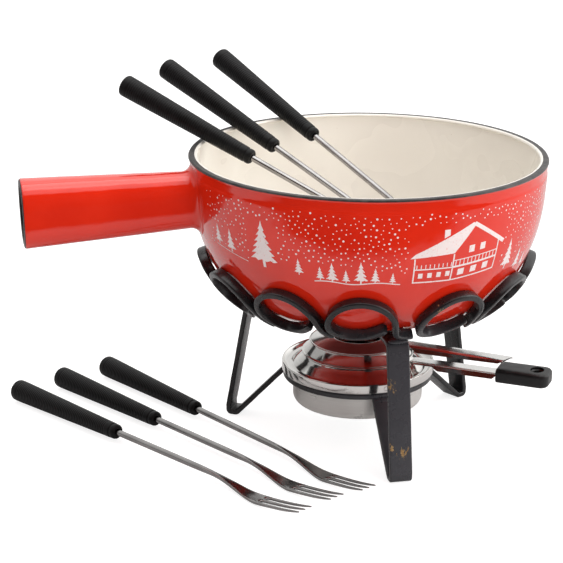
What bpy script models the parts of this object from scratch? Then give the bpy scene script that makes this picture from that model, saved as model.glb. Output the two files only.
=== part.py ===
"""Fondue pot set: enamelled cast-iron pot, welded scroll stand, paste burner and six forks.

Metres, +Z up. The floor is z = 0. The long side of the set lies along X, the pot's
stub handle points to -X and the burner's grip to +X. Azimuths turn from +X towards +Y.
"""

import math

import bmesh
import bpy
import numpy as np
from mathutils import Matrix, Vector

# ---------------------------------------------------------------- places of the two upright axes
AXIS = Vector((0.064066, 0.005500, 0.0))  # the pot and stand, placed so that the set is centred
BURNER_X = -0.0044  # the burner's axis, from the pot's
BURNER_AXIS = AXIS + Vector((BURNER_X, 0.0, 0.0))

# ---------------------------------------------------------------- materials
FINISHES = {
    "red_enamel": dict(colour=(0.62, 0.022, 0.012), roughness=0.18, metallic=0.0),
    "black_paint": dict(colour=(0.018, 0.018, 0.019), roughness=0.45, metallic=0.2),
    "steel": dict(colour=(0.72, 0.71, 0.69), roughness=0.25, metallic=1.0),
    "black_plastic": dict(colour=(0.02, 0.02, 0.021), roughness=0.5, metallic=0.0),
    "pad_fibre": dict(colour=(0.75, 0.73, 0.68), roughness=0.9, metallic=0.0),
    "gauze": dict(colour=(0.55, 0.54, 0.52), roughness=0.45, metallic=1.0),
}


def make_material(name, colour, roughness, metallic):
    material = bpy.data.materials.new(name)
    material.use_nodes = True
    shader = material.node_tree.nodes["Principled BSDF"]
    shader.inputs["Base Color"].default_value = (*colour, 1.0)
    shader.inputs["Roughness"].default_value = roughness
    shader.inputs["Metallic"].default_value = metallic
    material.diffuse_color = (*colour, 1.0)
    return material


# ---------------------------------------------------------------- shared building steps
MERGE_DISTANCE = 1e-6
ON_AXIS = 1e-7  # a smaller radius counts as a point on the axis


def clear_scene():
    for obj in list(bpy.data.objects):
        bpy.data.objects.remove(obj, do_unlink=True)


def add(name, verts, faces, finish, origin=AXIS, smooth=35.0):
    """Points are in world metres; edges sharper than `smooth` degrees stay sharp."""
    mesh = bpy.data.meshes.new(name)
    mesh.from_pydata([vert - origin for vert in verts], [], faces)
    bm = bmesh.new()
    bm.from_mesh(mesh)
    bmesh.ops.remove_doubles(bm, verts=bm.verts, dist=MERGE_DISTANCE)
    bmesh.ops.recalc_face_normals(bm, faces=bm.faces)
    if bm.calc_volume(signed=True) < 0:
        bmesh.ops.reverse_faces(bm, faces=bm.faces)
    bm.to_mesh(mesh)
    bm.free()
    mesh.shade_smooth()
    mesh.set_sharp_from_angle(angle=math.radians(smooth))
    obj = bpy.data.objects.new(name, mesh)
    obj.location = origin
    bpy.context.scene.collection.objects.link(obj)
    mesh.materials.append(make_material(f"{name}_{finish}", **FINISHES[finish]))
    return obj


def add_boolean(target, tool, name, operation):
    """Apply a helper object to the target, and keep the helper out of renders."""
    tool.hide_render = True
    tool.display_type = "WIRE"
    modifier = target.modifiers.new(name, "BOOLEAN")
    modifier.operation = operation
    modifier.solver = "EXACT"
    modifier.object = tool


def revolved(profile, segments, centre=AXIS, frame=Matrix.Identity(3)):
    """A closed outline of (radius, height) points turned about the frame's third column."""
    verts, rings, faces = [], [], []
    for radius, height in profile:
        if radius < ON_AXIS:
            rings.append([len(verts)] * segments)
            verts.append(centre + frame @ Vector((0, 0, height)))
            continue
        rings.append(list(range(len(verts), len(verts) + segments)))
        for k in range(segments):
            angle = 2 * math.pi * k / segments
            point = Vector((radius * math.cos(angle), radius * math.sin(angle), height))
            verts.append(centre + frame @ point)
    for ring, after in zip(rings, rings[1:] + rings[:1]):
        for k in range(segments):
            n = (k + 1) % segments
            # points on the axis repeat, so a quad there shrinks to a triangle or to nothing
            corners = list(dict.fromkeys((ring[k], ring[n], after[n], after[k])))
            if len(corners) > 2:
                faces.append(corners)
    return verts, faces


def lofted(rings, end_faces=None):
    """Rings of equally many points joined into a tube and closed at both ends.

    `end_faces` lists point numbers within a ring; by default one face fills each end.
    """
    verts = [point for ring in rings for point in ring]
    count = len(rings[0])
    faces = []
    for start in range(0, len(verts) - count, count):
        for k in range(count):
            n = (k + 1) % count
            faces.append((start + k, start + n, start + count + n, start + count + k))
    for start in (0, len(verts) - count):
        for face in end_faces or [range(count)]:
            faces.append(tuple(start + k for k in face))
    return verts, faces


def level_axes(azimuth):
    """Unit vectors outward along the azimuth and sideways, a quarter turn further round."""
    outward = Vector((math.cos(azimuth), math.sin(azimuth), 0))
    sideways = Vector((-math.sin(azimuth), math.cos(azimuth), 0))
    return outward, sideways


def sloping_axes(azimuth, droop):
    """Unit vectors ahead (dipping by `droop`), sideways and up, square to each other."""
    ahead = Vector((
        math.cos(azimuth) * math.cos(droop),
        math.sin(azimuth) * math.cos(droop),
        -math.sin(droop),
    ))
    sideways = level_axes(azimuth)[1]
    return ahead, sideways, ahead.cross(sideways)


def polar_point(centre, azimuth, out, across, z):
    outward, sideways = level_axes(azimuth)
    return centre + outward * out + sideways * across + Vector((0, 0, z))


def arc_points(centre, radius, start, end, steps):
    points = []
    for i in range(steps + 1):
        angle = start + (end - start) * i / steps
        x = centre[0] + radius * math.cos(angle)
        points.append((x, centre[1] + radius * math.sin(angle)))
    return points


# ---------------------------------------------------------------- pot
POT_BOTTOM = 0.0925
POT_RIM = 0.1972
POT_R = 0.1200  # outer radius at the rim
POT_WALL = 0.0045
POT_TAPER = math.radians(4.0)  # the straight wall under the rim
POT_TURN = math.radians(28.0)  # slope where the bowl's side meets its round bottom edge
POT_SIDE = 0.122  # radius of the bowl's side
POT_CORNER = 0.060  # radius of the bowl's round bottom edge
POT_SEGMENTS = 56
# (inward from POT_R, down from POT_RIM), from the outside over the rim to the inside
POT_RIM_OUTLINE = [
    (0.0003, 0.0018), (0.0006, 0.0004), (0.0016, 0.0), (POT_WALL, 0.0), (POT_WALL + 0.0007, 0.0008),
]

# where the round edge meets the side, and where the side meets the straight wall
POT_EDGE_TOP = POT_BOTTOM + POT_CORNER * (1 - math.sin(POT_TURN))
POT_SIDE_TOP = POT_EDGE_TOP + POT_SIDE * (math.sin(POT_TURN) - math.sin(POT_TAPER))

# centres of the two arcs, as (radius, height)
POT_CORNER_CENTRE = (
    POT_R - (POT_RIM - POT_SIDE_TOP) * math.tan(POT_TAPER)
    - POT_SIDE * (math.cos(POT_TAPER) - math.cos(POT_TURN)) - POT_CORNER * math.cos(POT_TURN),
    POT_BOTTOM + POT_CORNER,
)
POT_SIDE_CENTRE = (
    POT_CORNER_CENTRE[0] - (POT_SIDE - POT_CORNER) * math.cos(POT_TURN),
    POT_CORNER_CENTRE[1] + (POT_SIDE - POT_CORNER) * math.sin(POT_TURN),
)

HANDLE_AZ = math.radians(194.5)
HANDLE_DROOP = math.radians(2.0)
HANDLE_ROOT_R = 0.118
HANDLE_END_R = 0.2310
HANDLE_LENGTH = (HANDLE_END_R - HANDLE_ROOT_R) / math.cos(HANDLE_DROOP)
HANDLE_ROOT_Z = 0.1710
HANDLE_ROOT_SIZE = (0.0150, 0.0185)  # half width, half height
HANDLE_END_SIZE = (0.0190, 0.0226)
HANDLE_WALL = 0.0048
HANDLE_BORE = 0.086  # depth of the hollow from the handle's open end
HANDLE_POINTS = 20
HANDLE_SQUARENESS = 3.0  # superellipse power: 2 is an ellipse, higher is squarer
HANDLE_FIT_PASSES = 12
# (distance from the root, inset of the section), along the outside and then into the hollow
HANDLE_STATIONS = [
    (0.004, 0.0),
    (0.045, 0.0),
    (HANDLE_LENGTH - 0.0012, 0.0),
    (HANDLE_LENGTH, 0.0010),
    (HANDLE_LENGTH, HANDLE_WALL - 0.0008),
    (HANDLE_LENGTH - 0.0010, HANDLE_WALL),
    (HANDLE_LENGTH - 0.040, HANDLE_WALL),
    (HANDLE_LENGTH - HANDLE_BORE + 0.004, HANDLE_WALL),
    (HANDLE_LENGTH - HANDLE_BORE, HANDLE_WALL + 0.004),
]


def pot_outer_radius(z):
    """Outer radius at a height above the round bottom edge."""
    if z >= POT_SIDE_TOP:
        return POT_R - (POT_RIM - z) * math.tan(POT_TAPER)
    centre_r, centre_z = POT_SIDE_CENTRE
    return centre_r + math.sqrt(POT_SIDE**2 - (centre_z - z) ** 2)


def pot_profile():
    down = -math.pi / 2
    inner_side, inner_corner = POT_SIDE - POT_WALL, POT_CORNER - POT_WALL
    return [
        (0.0, POT_BOTTOM),
        *arc_points(POT_CORNER_CENTRE, POT_CORNER, down, -POT_TURN, 7),
        *arc_points(POT_SIDE_CENTRE, POT_SIDE, -POT_TURN, -POT_TAPER, 4)[1:],
        *((POT_R - inward, POT_RIM - drop) for inward, drop in POT_RIM_OUTLINE),
        *arc_points(POT_SIDE_CENTRE, inner_side, -POT_TAPER, -POT_TURN, 3),
        *arc_points(POT_CORNER_CENTRE, inner_corner, -POT_TURN, down, 6)[1:],
        (0.0, POT_BOTTOM + POT_WALL),
    ]


def superellipse(centre, sideways, up, half_width, half_height):
    ring = []
    for k in range(HANDLE_POINTS):
        angle = 2 * math.pi * (k + 0.5) / HANDLE_POINTS
        cosine, sine = math.cos(angle), math.sin(angle)
        x = math.copysign(abs(cosine) ** (2 / HANDLE_SQUARENESS), cosine) * half_width
        y = math.copysign(abs(sine) ** (2 / HANDLE_SQUARENESS), sine) * half_height
        ring.append(centre + sideways * x + up * y)
    return ring


def into_pot_wall(point, ahead):
    """Slide a point along the handle to the middle of the bowl's wall."""
    for _ in range(HANDLE_FIT_PASSES):
        radius = (point - AXIS).xy.length
        point = point + ahead * (pot_outer_radius(point.z) - 0.5 * POT_WALL - radius)
    return point


def build_handle():
    """The stub handle, hollow from its open end."""
    ahead, sideways, up = sloping_axes(HANDLE_AZ, HANDLE_DROOP)
    root = polar_point(AXIS, HANDLE_AZ, HANDLE_ROOT_R, 0.0, HANDLE_ROOT_Z)

    def section(distance, inset):
        share = distance / HANDLE_LENGTH
        half_width, half_height = (
            at_root + (at_end - at_root) * share - inset
            for at_root, at_end in zip(HANDLE_ROOT_SIZE, HANDLE_END_SIZE)
        )
        return superellipse(root + ahead * distance, sideways, up, half_width, half_height)

    rings = [[into_pot_wall(point, ahead) for point in section(0.0, 0.0)]]
    rings += [section(*station) for station in HANDLE_STATIONS]
    return add("handle_blank", *lofted(rings), "red_enamel")


def build_pot():
    pot = add("caquelon", *revolved(pot_profile(), POT_SEGMENTS), "red_enamel", smooth=30.0)
    add_boolean(pot, build_handle(), "handle", "UNION")


# ---------------------------------------------------------------- stand
LEG_AZ = [math.radians(degrees) for degrees in (-74.9, 165.1, 45.1)]
LEG_WIDTH, LEG_THICK = 0.0150, 0.0035
TAB_TOP = 0.0920
TAB_IN_R, LEG_BEND_R, FOOT_R = 0.057, 0.0830, 0.0988
BEND_RADII = (0.0040, 0.0018, 0.0018, 0.0028)  # from the tab's bend to the foot's inner bend
BEND_STEPS = 4
RING_CLEARANCE = 0.0005  # from the burner ring to a strut's end
FLOOR_SNAP = 0.0004  # leg points lower than this are set on the floor
MITRE_LIMIT = 0.3  # smallest cosine used where an offset line turns

BURNER_RING_IN_R, BURNER_RING_OUT_R = 0.0462, 0.0516
BURNER_RING_BOTTOM, BURNER_RING_TOP = 0.0401, 0.0436
BURNER_RING_EDGE = 0.0006

SCROLLS_PER_LEG = 4
SCROLL_FIRST, SCROLL_PITCH = math.radians(18.0), math.radians(28.6)
SCROLL_BAR, SCROLL_WIDE = 0.0042, 0.0070
SCROLL_GAP = 0.0043  # from the pot's wall to the middle of the bar
SCROLL_FROM, SCROLL_TO = math.radians(-59.0), math.radians(-22.0)  # along the bowl's round edge
CROWN_RADIUS = POT_CORNER + SCROLL_GAP
SCROLL_HALF_W = 0.0214
SCROLL_H = CROWN_RADIUS * (SCROLL_TO - SCROLL_FROM)
LOOP_POINTS, LOOP_START, LOOP_STEP = 10, -112, -26  # angles in degrees
CURVE_STEPS = 2  # points for each span of the smoothed line
# (sideways, up the pot's wall): the start inside the loop, and the two kinds of tail
SCROLL_START = [(0.0150, 0.0150), (0.0085, 0.0085), (0.0010, 0.0030)]
SCROLL_TAIL = [(0.0228, 0.0045), (0.0240, 0.0015)]
SCROLL_LONG_TAIL = [(0.0243, 0.0035), (0.0285, 0.0012), (0.0330, 0.0008)]


def rounded_line(points, radii):
    """A polyline whose inner corners are replaced by arcs of the given radii."""
    line = [points[0]]
    for before, corner, after, radius in zip(points, points[1:], points[2:], radii):
        to_before, to_after = (before - corner).normalized(), (after - corner).normalized()
        half = math.acos(to_before.dot(to_after)) / 2
        back = radius / math.tan(half)
        centre = corner + (to_before + to_after).normalized() * (radius / math.sin(half))
        start = corner + to_before * back - centre
        end = corner + to_after * back - centre
        turn = math.atan2(start.x * end.y - start.y * end.x, start.dot(end))
        for i in range(BEND_STEPS + 1):
            cosine, sine = math.cos(turn * i / BEND_STEPS), math.sin(turn * i / BEND_STEPS)
            x = start.x * cosine - start.y * sine
            line.append(centre + Vector((x, start.x * sine + start.y * cosine)))
    line.append(points[-1])
    return line


def offset_line(line, distance):
    """The line moved to its left by `distance`, mitred where it turns."""
    directions = [(after - before).normalized() for before, after in zip(line, line[1:])]
    moved = []
    for point, before, after in zip(line, directions[:1] + directions, directions + directions[-1:]):
        normal = Vector((-before.y - after.y, before.x + after.x)).normalized()
        cosine = normal.dot(Vector((-before.y, before.x)))
        moved.append(point + normal * distance / max(MITRE_LIMIT, cosine))
    return moved


def build_leg(name, azimuth):
    """A bent strip: tab under the pot, leg down to the foot, strut up to the burner ring."""
    half = LEG_THICK / 2
    strut_end_r = BURNER_RING_OUT_R + RING_CLEARANCE + BURNER_X * math.cos(azimuth)
    foot_r = FOOT_R - half
    middle = [  # (radius, height)
        (TAB_IN_R, TAB_TOP - half),
        (LEG_BEND_R - 0.0008, TAB_TOP - half),
        (foot_r, 0.0065),
        (foot_r - 0.0002, half),
        (foot_r - 0.0062, half),
        (strut_end_r, BURNER_RING_BOTTOM + 0.0002),
    ]
    line = rounded_line([Vector(point) for point in middle], BEND_RADII)
    edges = offset_line(line, half), offset_line(line, -half)
    for edge in edges:
        # the strut's end is cut upright against the ring
        last_span = edge[-1] - edge[-2]
        edge[-1] = edge[-2] + last_span * ((strut_end_r - edge[-2].x) / last_span.x)
        for point in edge:
            if point.y < FLOOR_SNAP:
                point.y = 0.0
    outline = edges[0] + edges[1][::-1]
    rings = [
        [polar_point(AXIS, azimuth, point.x, across, point.y) for point in outline]
        for across in (-LEG_WIDTH / 2, LEG_WIDTH / 2)
    ]
    # each flat side is a strip of quads between the two edges
    count = len(outline)
    strip = [(i, i + 1, count - 2 - i, count - 1 - i) for i in range(len(line) - 1)]
    add(name, *lofted(rings, strip), "black_paint")


def smoothed(points):
    """A Catmull-Rom curve through the points."""
    points = [np.array(point, float) for point in points]
    points = [2 * points[0] - points[1]] + points + [2 * points[-1] - points[-2]]
    curve = []
    for p0, p1, p2, p3 in zip(points, points[1:], points[2:], points[3:]):
        for k in range(CURVE_STEPS):
            t = k / CURVE_STEPS
            square = (2 * p0 - 5 * p1 + 4 * p2 - p3) * t**2
            cube = (3 * p1 - p0 - 3 * p2 + p3) * t**3
            curve.append(0.5 * (2 * p1 + (p2 - p0) * t + square + cube))
    curve.append(points[-2])
    return curve


def scroll_line(tail):
    """The loop in its own plane: sideways and up the pot's wall."""
    points = list(SCROLL_START)
    for k in range(LOOP_POINTS):
        angle = math.radians(LOOP_START + k * LOOP_STEP)
        rise = SCROLL_H / 2 * math.sin(angle)
        points.append((SCROLL_HALF_W * math.cos(angle), SCROLL_H / 2 + rise))
    points += [(SCROLL_HALF_W * 0.995, SCROLL_H * 0.36), (SCROLL_HALF_W * 1.02, SCROLL_H * 0.20)]
    return smoothed(points + tail)


def on_crown(azimuth, across, rise):
    """A point of the scrolls' surface, which follows the bowl, and its outward direction."""
    lean = SCROLL_FROM + rise / CROWN_RADIUS
    radius = POT_CORNER_CENTRE[0] + CROWN_RADIUS * math.cos(lean)
    z = POT_CORNER_CENTRE[1] + CROWN_RADIUS * math.sin(lean)
    outward = level_axes(azimuth + across / radius)[0]
    normal = outward * math.cos(lean) + Vector((0, 0, math.sin(lean)))
    return AXIS + outward * radius + Vector((0, 0, z)), normal


def build_scroll(name, azimuth, tail):
    line = scroll_line(tail)
    rings = []
    for i, (across, rise) in enumerate(line):
        span = line[min(i + 1, len(line) - 1)] - line[max(i - 1, 0)]
        along_x, along_y = span / np.linalg.norm(span)
        ring = []
        for side, depth in ((-1, -1), (1, -1), (1, 1), (-1, 1)):
            shift = side * SCROLL_BAR / 2
            point, normal = on_crown(azimuth, across - along_y * shift, rise + along_x * shift)
            ring.append(point + normal * depth * SCROLL_WIDE / 2)
        rings.append(ring)
    add(name, *lofted(rings), "black_paint", smooth=40)


def build_burner_ring():
    inner, outer, edge = BURNER_RING_IN_R, BURNER_RING_OUT_R, BURNER_RING_EDGE
    bottom, top = BURNER_RING_BOTTOM, BURNER_RING_TOP
    profile = [
        (inner, bottom + edge), (inner + edge, bottom),
        (outer - edge, bottom), (outer, bottom + edge),
        (outer, top - edge), (outer - edge, top),
        (inner + edge, top), (inner, top - edge),
    ]
    add_round_part("burner_ring", profile, 40, "black_paint")


def build_stand():
    for i, azimuth in enumerate(LEG_AZ):
        build_leg(f"leg_{i + 1}", azimuth)
        for k in range(SCROLLS_PER_LEG):
            # the last tail of each group runs on across the leg to the next loop
            tail = SCROLL_LONG_TAIL if k == SCROLLS_PER_LEG - 1 else SCROLL_TAIL
            name = f"scroll_{i * SCROLLS_PER_LEG + k + 1:02d}"
            build_scroll(name, azimuth + SCROLL_FIRST + k * SCROLL_PITCH, tail)
    build_burner_ring()


# ---------------------------------------------------------------- burner
CUP_R, CUP_BOTTOM, CUP_TOP, CUP_WALL = 0.0447, 0.0224, 0.0436, 0.0012
PAD_GAP = 0.0004  # from the pad to the cup and to the gauze
PAD_R = CUP_R - CUP_WALL - PAD_GAP
PAD_TOP = CUP_TOP - 0.0045
GAUZE_THICK = 0.0006
DISH_R, DISH_BOTTOM, DISH_TOP = 0.0524, 0.0439, 0.0510
DISH_HOLE_R = 0.0240
NECK_R, NECK_BASE_R, NECK_TOP = 0.0373, 0.0455, 0.0563
CAP_R, CAP_BEAD_R, CAP_TOP = 0.0385, 0.0350, 0.0668
CAP_BOTTOM = NECK_TOP + 0.0004
BURNER_SEGMENTS, PAD_SEGMENTS, RIVET_SEGMENTS = 44, 32, 12

STRIP_WIDTH, STRIP_THICK = 0.0126, 0.0010
LEVER_AZ, LEVER_END = math.radians(-22.5), 0.1080
LEVER_TOP = CAP_TOP + 0.0003 + STRIP_THICK
RIVET_RADII = (0.0260, 0.0335)  # places along the lever
RIVET_BOTTOM = LEVER_TOP + 0.0003
HANDLE_STRIP_AZ, HANDLE_STRIP_END = math.radians(-18.5), 0.1180
HANDLE_STRIP_TOP = 0.0556

GRIP_FROM, GRIP_TO, GRIP_WIDTH, GRIP_THICK = 0.1000, 0.1355, 0.0205, 0.0100
GRIP_IN_CORNER, GRIP_OUT_CORNER = 0.0030, 0.0060  # corner radii nearer to and further from the axis
GRIP_EDGE = 0.0014
GRIP_Z = HANDLE_STRIP_TOP - STRIP_THICK / 2
SOCKET_HALF_WIDTH, SOCKET_HALF_HEIGHT = STRIP_WIDTH / 2 + 0.0003, STRIP_THICK / 2 + 0.0004
GRIP_HOLE_R = GRIP_TO - 0.0085  # the hole's centre, from the burner's axis
GRIP_HOLE_HALF_LENGTH, GRIP_HOLE_HALF_WIDTH = 0.0030, 0.0050
GRIP_HOLE_REACH = 0.010  # of the cutting tool, above and below the grip's middle
GRIP_HOLE_POINTS = 14


def add_round_part(name, profile, segments, finish, centre=BURNER_AXIS):
    add(name, *revolved(profile, segments, centre), finish, centre)


def build_cup():
    inner = CUP_R - CUP_WALL
    profile = [
        (0.0, CUP_BOTTOM), (CUP_R - 0.0030, CUP_BOTTOM),
        (CUP_R - 0.0008, CUP_BOTTOM + 0.0009), (CUP_R, CUP_BOTTOM + 0.0030),
        (CUP_R, CUP_TOP - 0.0003), (CUP_R - 0.0003, CUP_TOP), (inner, CUP_TOP),
        (inner, CUP_BOTTOM + 0.0035), (inner - 0.0022, CUP_BOTTOM + CUP_WALL),
        (0.0, CUP_BOTTOM + CUP_WALL),
    ]
    add_round_part("burner_cup", profile, BURNER_SEGMENTS, "steel")


def build_pad():
    bottom = CUP_BOTTOM + CUP_WALL + PAD_GAP
    profile = [
        (0, bottom), (PAD_R - 0.0030, bottom), (PAD_R, bottom + 0.0028), (PAD_R, PAD_TOP), (0, PAD_TOP),
    ]
    add_round_part("burner_pad", profile, PAD_SEGMENTS, "pad_fibre")


def build_gauze():
    bottom = PAD_TOP + PAD_GAP
    top = bottom + GAUZE_THICK
    profile = [(0, bottom), (PAD_R, bottom), (PAD_R, top), (0, top)]
    add_round_part("burner_gauze", profile, PAD_SEGMENTS, "gauze")


def build_dish():
    """The dish on the cup, with the neck rising from it."""
    profile = [
        (DISH_R, DISH_BOTTOM), (DISH_R, DISH_TOP - 0.0006), (DISH_R - 0.0005, DISH_TOP),
        (DISH_R - 0.0012, DISH_TOP - 0.0003), (DISH_R - 0.0034, DISH_BOTTOM + 0.0044),
        (NECK_BASE_R, DISH_BOTTOM + 0.0040), (NECK_R, NECK_TOP - 0.0006),
        (NECK_R - 0.0006, NECK_TOP), (DISH_HOLE_R, NECK_TOP - 0.0006),
        (DISH_HOLE_R, NECK_TOP - 0.0016), (NECK_R - 0.0016, NECK_TOP - 0.0016),
        (NECK_BASE_R - 0.0030, DISH_BOTTOM + 0.0022), (NECK_BASE_R - 0.0030, DISH_BOTTOM),
    ]
    add_round_part("burner_dish", profile, BURNER_SEGMENTS, "steel")


def build_cap():
    """The open-centred cap on the neck, with a bead round its top."""
    profile = [
        (CAP_R, CAP_BOTTOM), (CAP_R, CAP_BOTTOM + 0.0008), (CAP_R - 0.0012, CAP_BOTTOM + 0.0012),
        (CAP_BEAD_R - 0.0005, CAP_BOTTOM + 0.0026), (CAP_BEAD_R - 0.0026, CAP_BOTTOM + 0.0052),
        (CAP_BEAD_R - 0.0027, CAP_TOP - 0.0024), (CAP_BEAD_R, CAP_TOP - 0.0017),
        (CAP_BEAD_R, CAP_TOP - 0.0011), (CAP_BEAD_R - 0.0012, CAP_TOP - 0.0010),
        (0.0170, CAP_TOP), (0.0162, CAP_TOP - 0.0006), (0.0170, CAP_TOP - 0.0012),
        (CAP_BEAD_R - 0.0042, CAP_TOP - 0.0024), (CAP_BEAD_R - 0.0040, CAP_BOTTOM + 0.0047),
        (CAP_BEAD_R - 0.0022, CAP_BOTTOM + 0.0014), (CAP_R - 0.0022, CAP_BOTTOM),
    ]
    add_round_part("regulator_cap", profile, BURNER_SEGMENTS, "steel")


def build_channel(name, azimuth, top, ends, flange_depth, flange_ends):
    """A flat strip with its two long edges folded down between two radii."""
    half, inner, flat = STRIP_WIDTH / 2, STRIP_WIDTH / 2 - STRIP_THICK, STRIP_THICK + 0.0001
    stations = [  # (radius, depth of the folded edges)
        (ends[0], flat), (flange_ends[0], flat), (flange_ends[0] + 0.006, flange_depth),
        (flange_ends[1] - 0.004, flange_depth), (flange_ends[1], flat), (ends[1], flat),
    ]
    rings = []
    for radius, depth in stations:
        section = [
            (-half, 0), (half, 0), (half, -depth), (inner, -depth),
            (inner, -STRIP_THICK), (-inner, -STRIP_THICK), (-inner, -depth), (-half, -depth),
        ]
        rings.append([polar_point(BURNER_AXIS, azimuth, radius, x, top + z) for x, z in section])
    end_faces = [(0, 1, 4, 5), (1, 2, 3, 4), (0, 5, 6, 7)]
    add(name, *lofted(rings, end_faces), "steel", BURNER_AXIS)


def build_strips():
    build_channel(
        "regulator_lever", LEVER_AZ, LEVER_TOP, ends=(0.0215, LEVER_END),
        flange_depth=0.0036, flange_ends=(0.0400, LEVER_END - 0.0030),
    )
    build_channel(
        "burner_handle_strip", HANDLE_STRIP_AZ, HANDLE_STRIP_TOP,
        ends=(NECK_R + 0.0022, HANDLE_STRIP_END), flange_depth=0.0040, flange_ends=(0.0535, 0.0970),
    )


def build_rivets():
    z = RIVET_BOTTOM
    profile = [(0, z), (0.0019, z), (0.0016, z + 0.0007), (0.0008, z + 0.0011), (0, z + 0.0012)]
    for i, radius in enumerate(RIVET_RADII):
        centre = polar_point(BURNER_AXIS, LEVER_AZ, radius, 0, 0)
        add_round_part(f"lever_rivet_{i + 1}", profile, RIVET_SEGMENTS, "steel", centre)


def add_grip_piece(name, sections):
    """Sections of (radius, across, height from the grip's middle) points, lofted together."""
    rings = [
        [polar_point(BURNER_AXIS, HANDLE_STRIP_AZ, x, y, GRIP_Z + z) for x, y, z in section]
        for section in sections
    ]
    return add(name, *lofted(rings), "black_plastic", BURNER_AXIS)


def grip_outline(inset):
    """The grip from above, its four rounded corners moved in by `inset`."""
    half = GRIP_WIDTH / 2
    far_x, far_y = GRIP_TO - GRIP_OUT_CORNER, half - GRIP_OUT_CORNER
    near_x, near_y = GRIP_FROM + GRIP_IN_CORNER, half - GRIP_IN_CORNER
    corners = (  # corner centre, corner radius, first angle in degrees
        ((far_x, far_y), GRIP_OUT_CORNER, 0), ((near_x, near_y), GRIP_IN_CORNER, 90),
        ((near_x, -near_y), GRIP_IN_CORNER, 180), ((far_x, -far_y), GRIP_OUT_CORNER, 270),
    )
    points = []
    for centre, radius, first in corners:
        start, end = math.radians(first), math.radians(first + 90)
        points += arc_points(centre, radius - inset, start, end, 3)
    return points


def build_grip():
    """The plastic grip, with a socket for the handle strip and an oval hole near its outer end."""
    half = GRIP_THICK / 2
    levels = [  # (inset, height)
        (GRIP_EDGE, -half), (0.0004, -half + 0.0004), (0.0, -half + GRIP_EDGE),
        (0.0, half - GRIP_EDGE), (0.0004, half - 0.0004), (GRIP_EDGE, half),
    ]
    sections = [[(x, y, z) for x, y in grip_outline(inset)] for inset, z in levels]
    grip = add_grip_piece("burner_grip", sections)

    signs = ((-1, -1), (1, -1), (1, 1), (-1, 1))
    socket = add_grip_piece("grip_socket", [
        [(x, SOCKET_HALF_WIDTH * side, SOCKET_HALF_HEIGHT * level) for side, level in signs]
        for x in (GRIP_FROM - 0.002, HANDLE_STRIP_END + 0.0004)
    ])
    angles = [2 * math.pi * k / GRIP_HOLE_POINTS for k in range(GRIP_HOLE_POINTS)]
    oval = [
        (GRIP_HOLE_R + GRIP_HOLE_HALF_LENGTH * math.cos(a), GRIP_HOLE_HALF_WIDTH * math.sin(a))
        for a in angles
    ]
    hole = add_grip_piece(
        "grip_hole", [[(x, y, z) for x, y in oval] for z in (-GRIP_HOLE_REACH, GRIP_HOLE_REACH)]
    )
    for tool in (socket, hole):
        add_boolean(grip, tool, tool.name, "DIFFERENCE")


def build_burner():
    build_cup()
    build_pad()
    build_gauze()
    build_dish()
    build_cap()
    build_strips()
    build_rivets()
    build_grip()


# ---------------------------------------------------------------- forks
# butt centre from the pot's axis, azimuth from butt to tines, downward tilt, in degrees
FORKS = [
    # standing in the pot
    ((-0.1697, 0.0543, 0.22910), -27.0, 20.70),
    ((-0.1463, 0.1040, 0.23140), -35.9, 22.75),
    ((-0.1106, 0.1440, 0.23160), -44.6, 21.98),
    # lying on the table
    ((-0.2492, 0.0362, 0.0079), -41.8, 0.474),
    ((-0.2223, 0.0642, 0.0079), -44.0, 0.474),
    ((-0.1923, 0.0891, 0.0079), -46.8, 0.474),
]
FORK_LENGTH, FORK_HANDLE = 0.2880, 0.1100
FORK_BUTT_R, FORK_NOSE_R, FORK_SHAFT_R = 0.0076, 0.0053, 0.0015
FORK_BORE_R, FORK_BORE_END = FORK_SHAFT_R + 0.0004, FORK_HANDLE - 0.030
FORK_HEAD_HALF = 0.0124 / 2
FORK_SEGMENTS = 14
# (radius, distance from the butt): the handle's outside, then the bore for the shaft
FORK_HANDLE_PROFILE = [
    (0.0, 0.0), (FORK_BUTT_R - 0.0012, 0.0), (FORK_BUTT_R - 0.0003, 0.0004),
    (FORK_BUTT_R, 0.0014), (FORK_BUTT_R, 0.0080), (FORK_NOSE_R, FORK_HANDLE - 0.0040),
    (FORK_NOSE_R - 0.0002, FORK_HANDLE - 0.0008), (FORK_NOSE_R - 0.0010, FORK_HANDLE),
    (FORK_BORE_R, FORK_HANDLE), (FORK_BORE_R, FORK_BORE_END), (0.0, FORK_BORE_END),
]
# distance from the butt, half width, half thickness, height of the steel
FORK_STATIONS = [
    (0.086, FORK_SHAFT_R, FORK_SHAFT_R, 0.0),
    (0.202, FORK_SHAFT_R, FORK_SHAFT_R, 0.0),
    (0.212, 0.0020, 0.0014, -0.0004),
    (0.224, 0.0031, 0.0011, -0.0022),
    (0.234, 0.0045, 0.0009, -0.0039),
    (0.242, 0.0057, 0.0008, -0.0046),
    (0.250, FORK_HEAD_HALF, 0.0008, -0.0044),
    (0.262, FORK_HEAD_HALF, 0.0008, -0.0030),
    (0.276, FORK_HEAD_HALF, 0.0008, -0.0008),
    (FORK_LENGTH, FORK_HEAD_HALF * 0.97, 0.0005, 0.0026),
]
TINE_STATION = 6  # the tines are separate from this station on
TINE_COLUMNS = (0, 2, 4)
FLAT_FROM, FLATTENING = 0.224, 0.022  # where the section becomes flat, and over what length
TIP_FROM = 0.262  # where the tines begin to narrow
ROUND_FALL = 0.90  # how far a round section's lift falls off towards its edges
# places of the six lines across the steel, as shares of its half width
SHAFT_SHARES = (-1.0, -0.62, -0.22, 0.22, 0.62, 1.0)
HEAD_SHARES = (-1.0, -0.66, -0.17, 0.17, 0.66, 1.0)
TIP_SHARES = (-1.0, -0.86, -0.07, 0.07, 0.86, 1.0)


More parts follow.
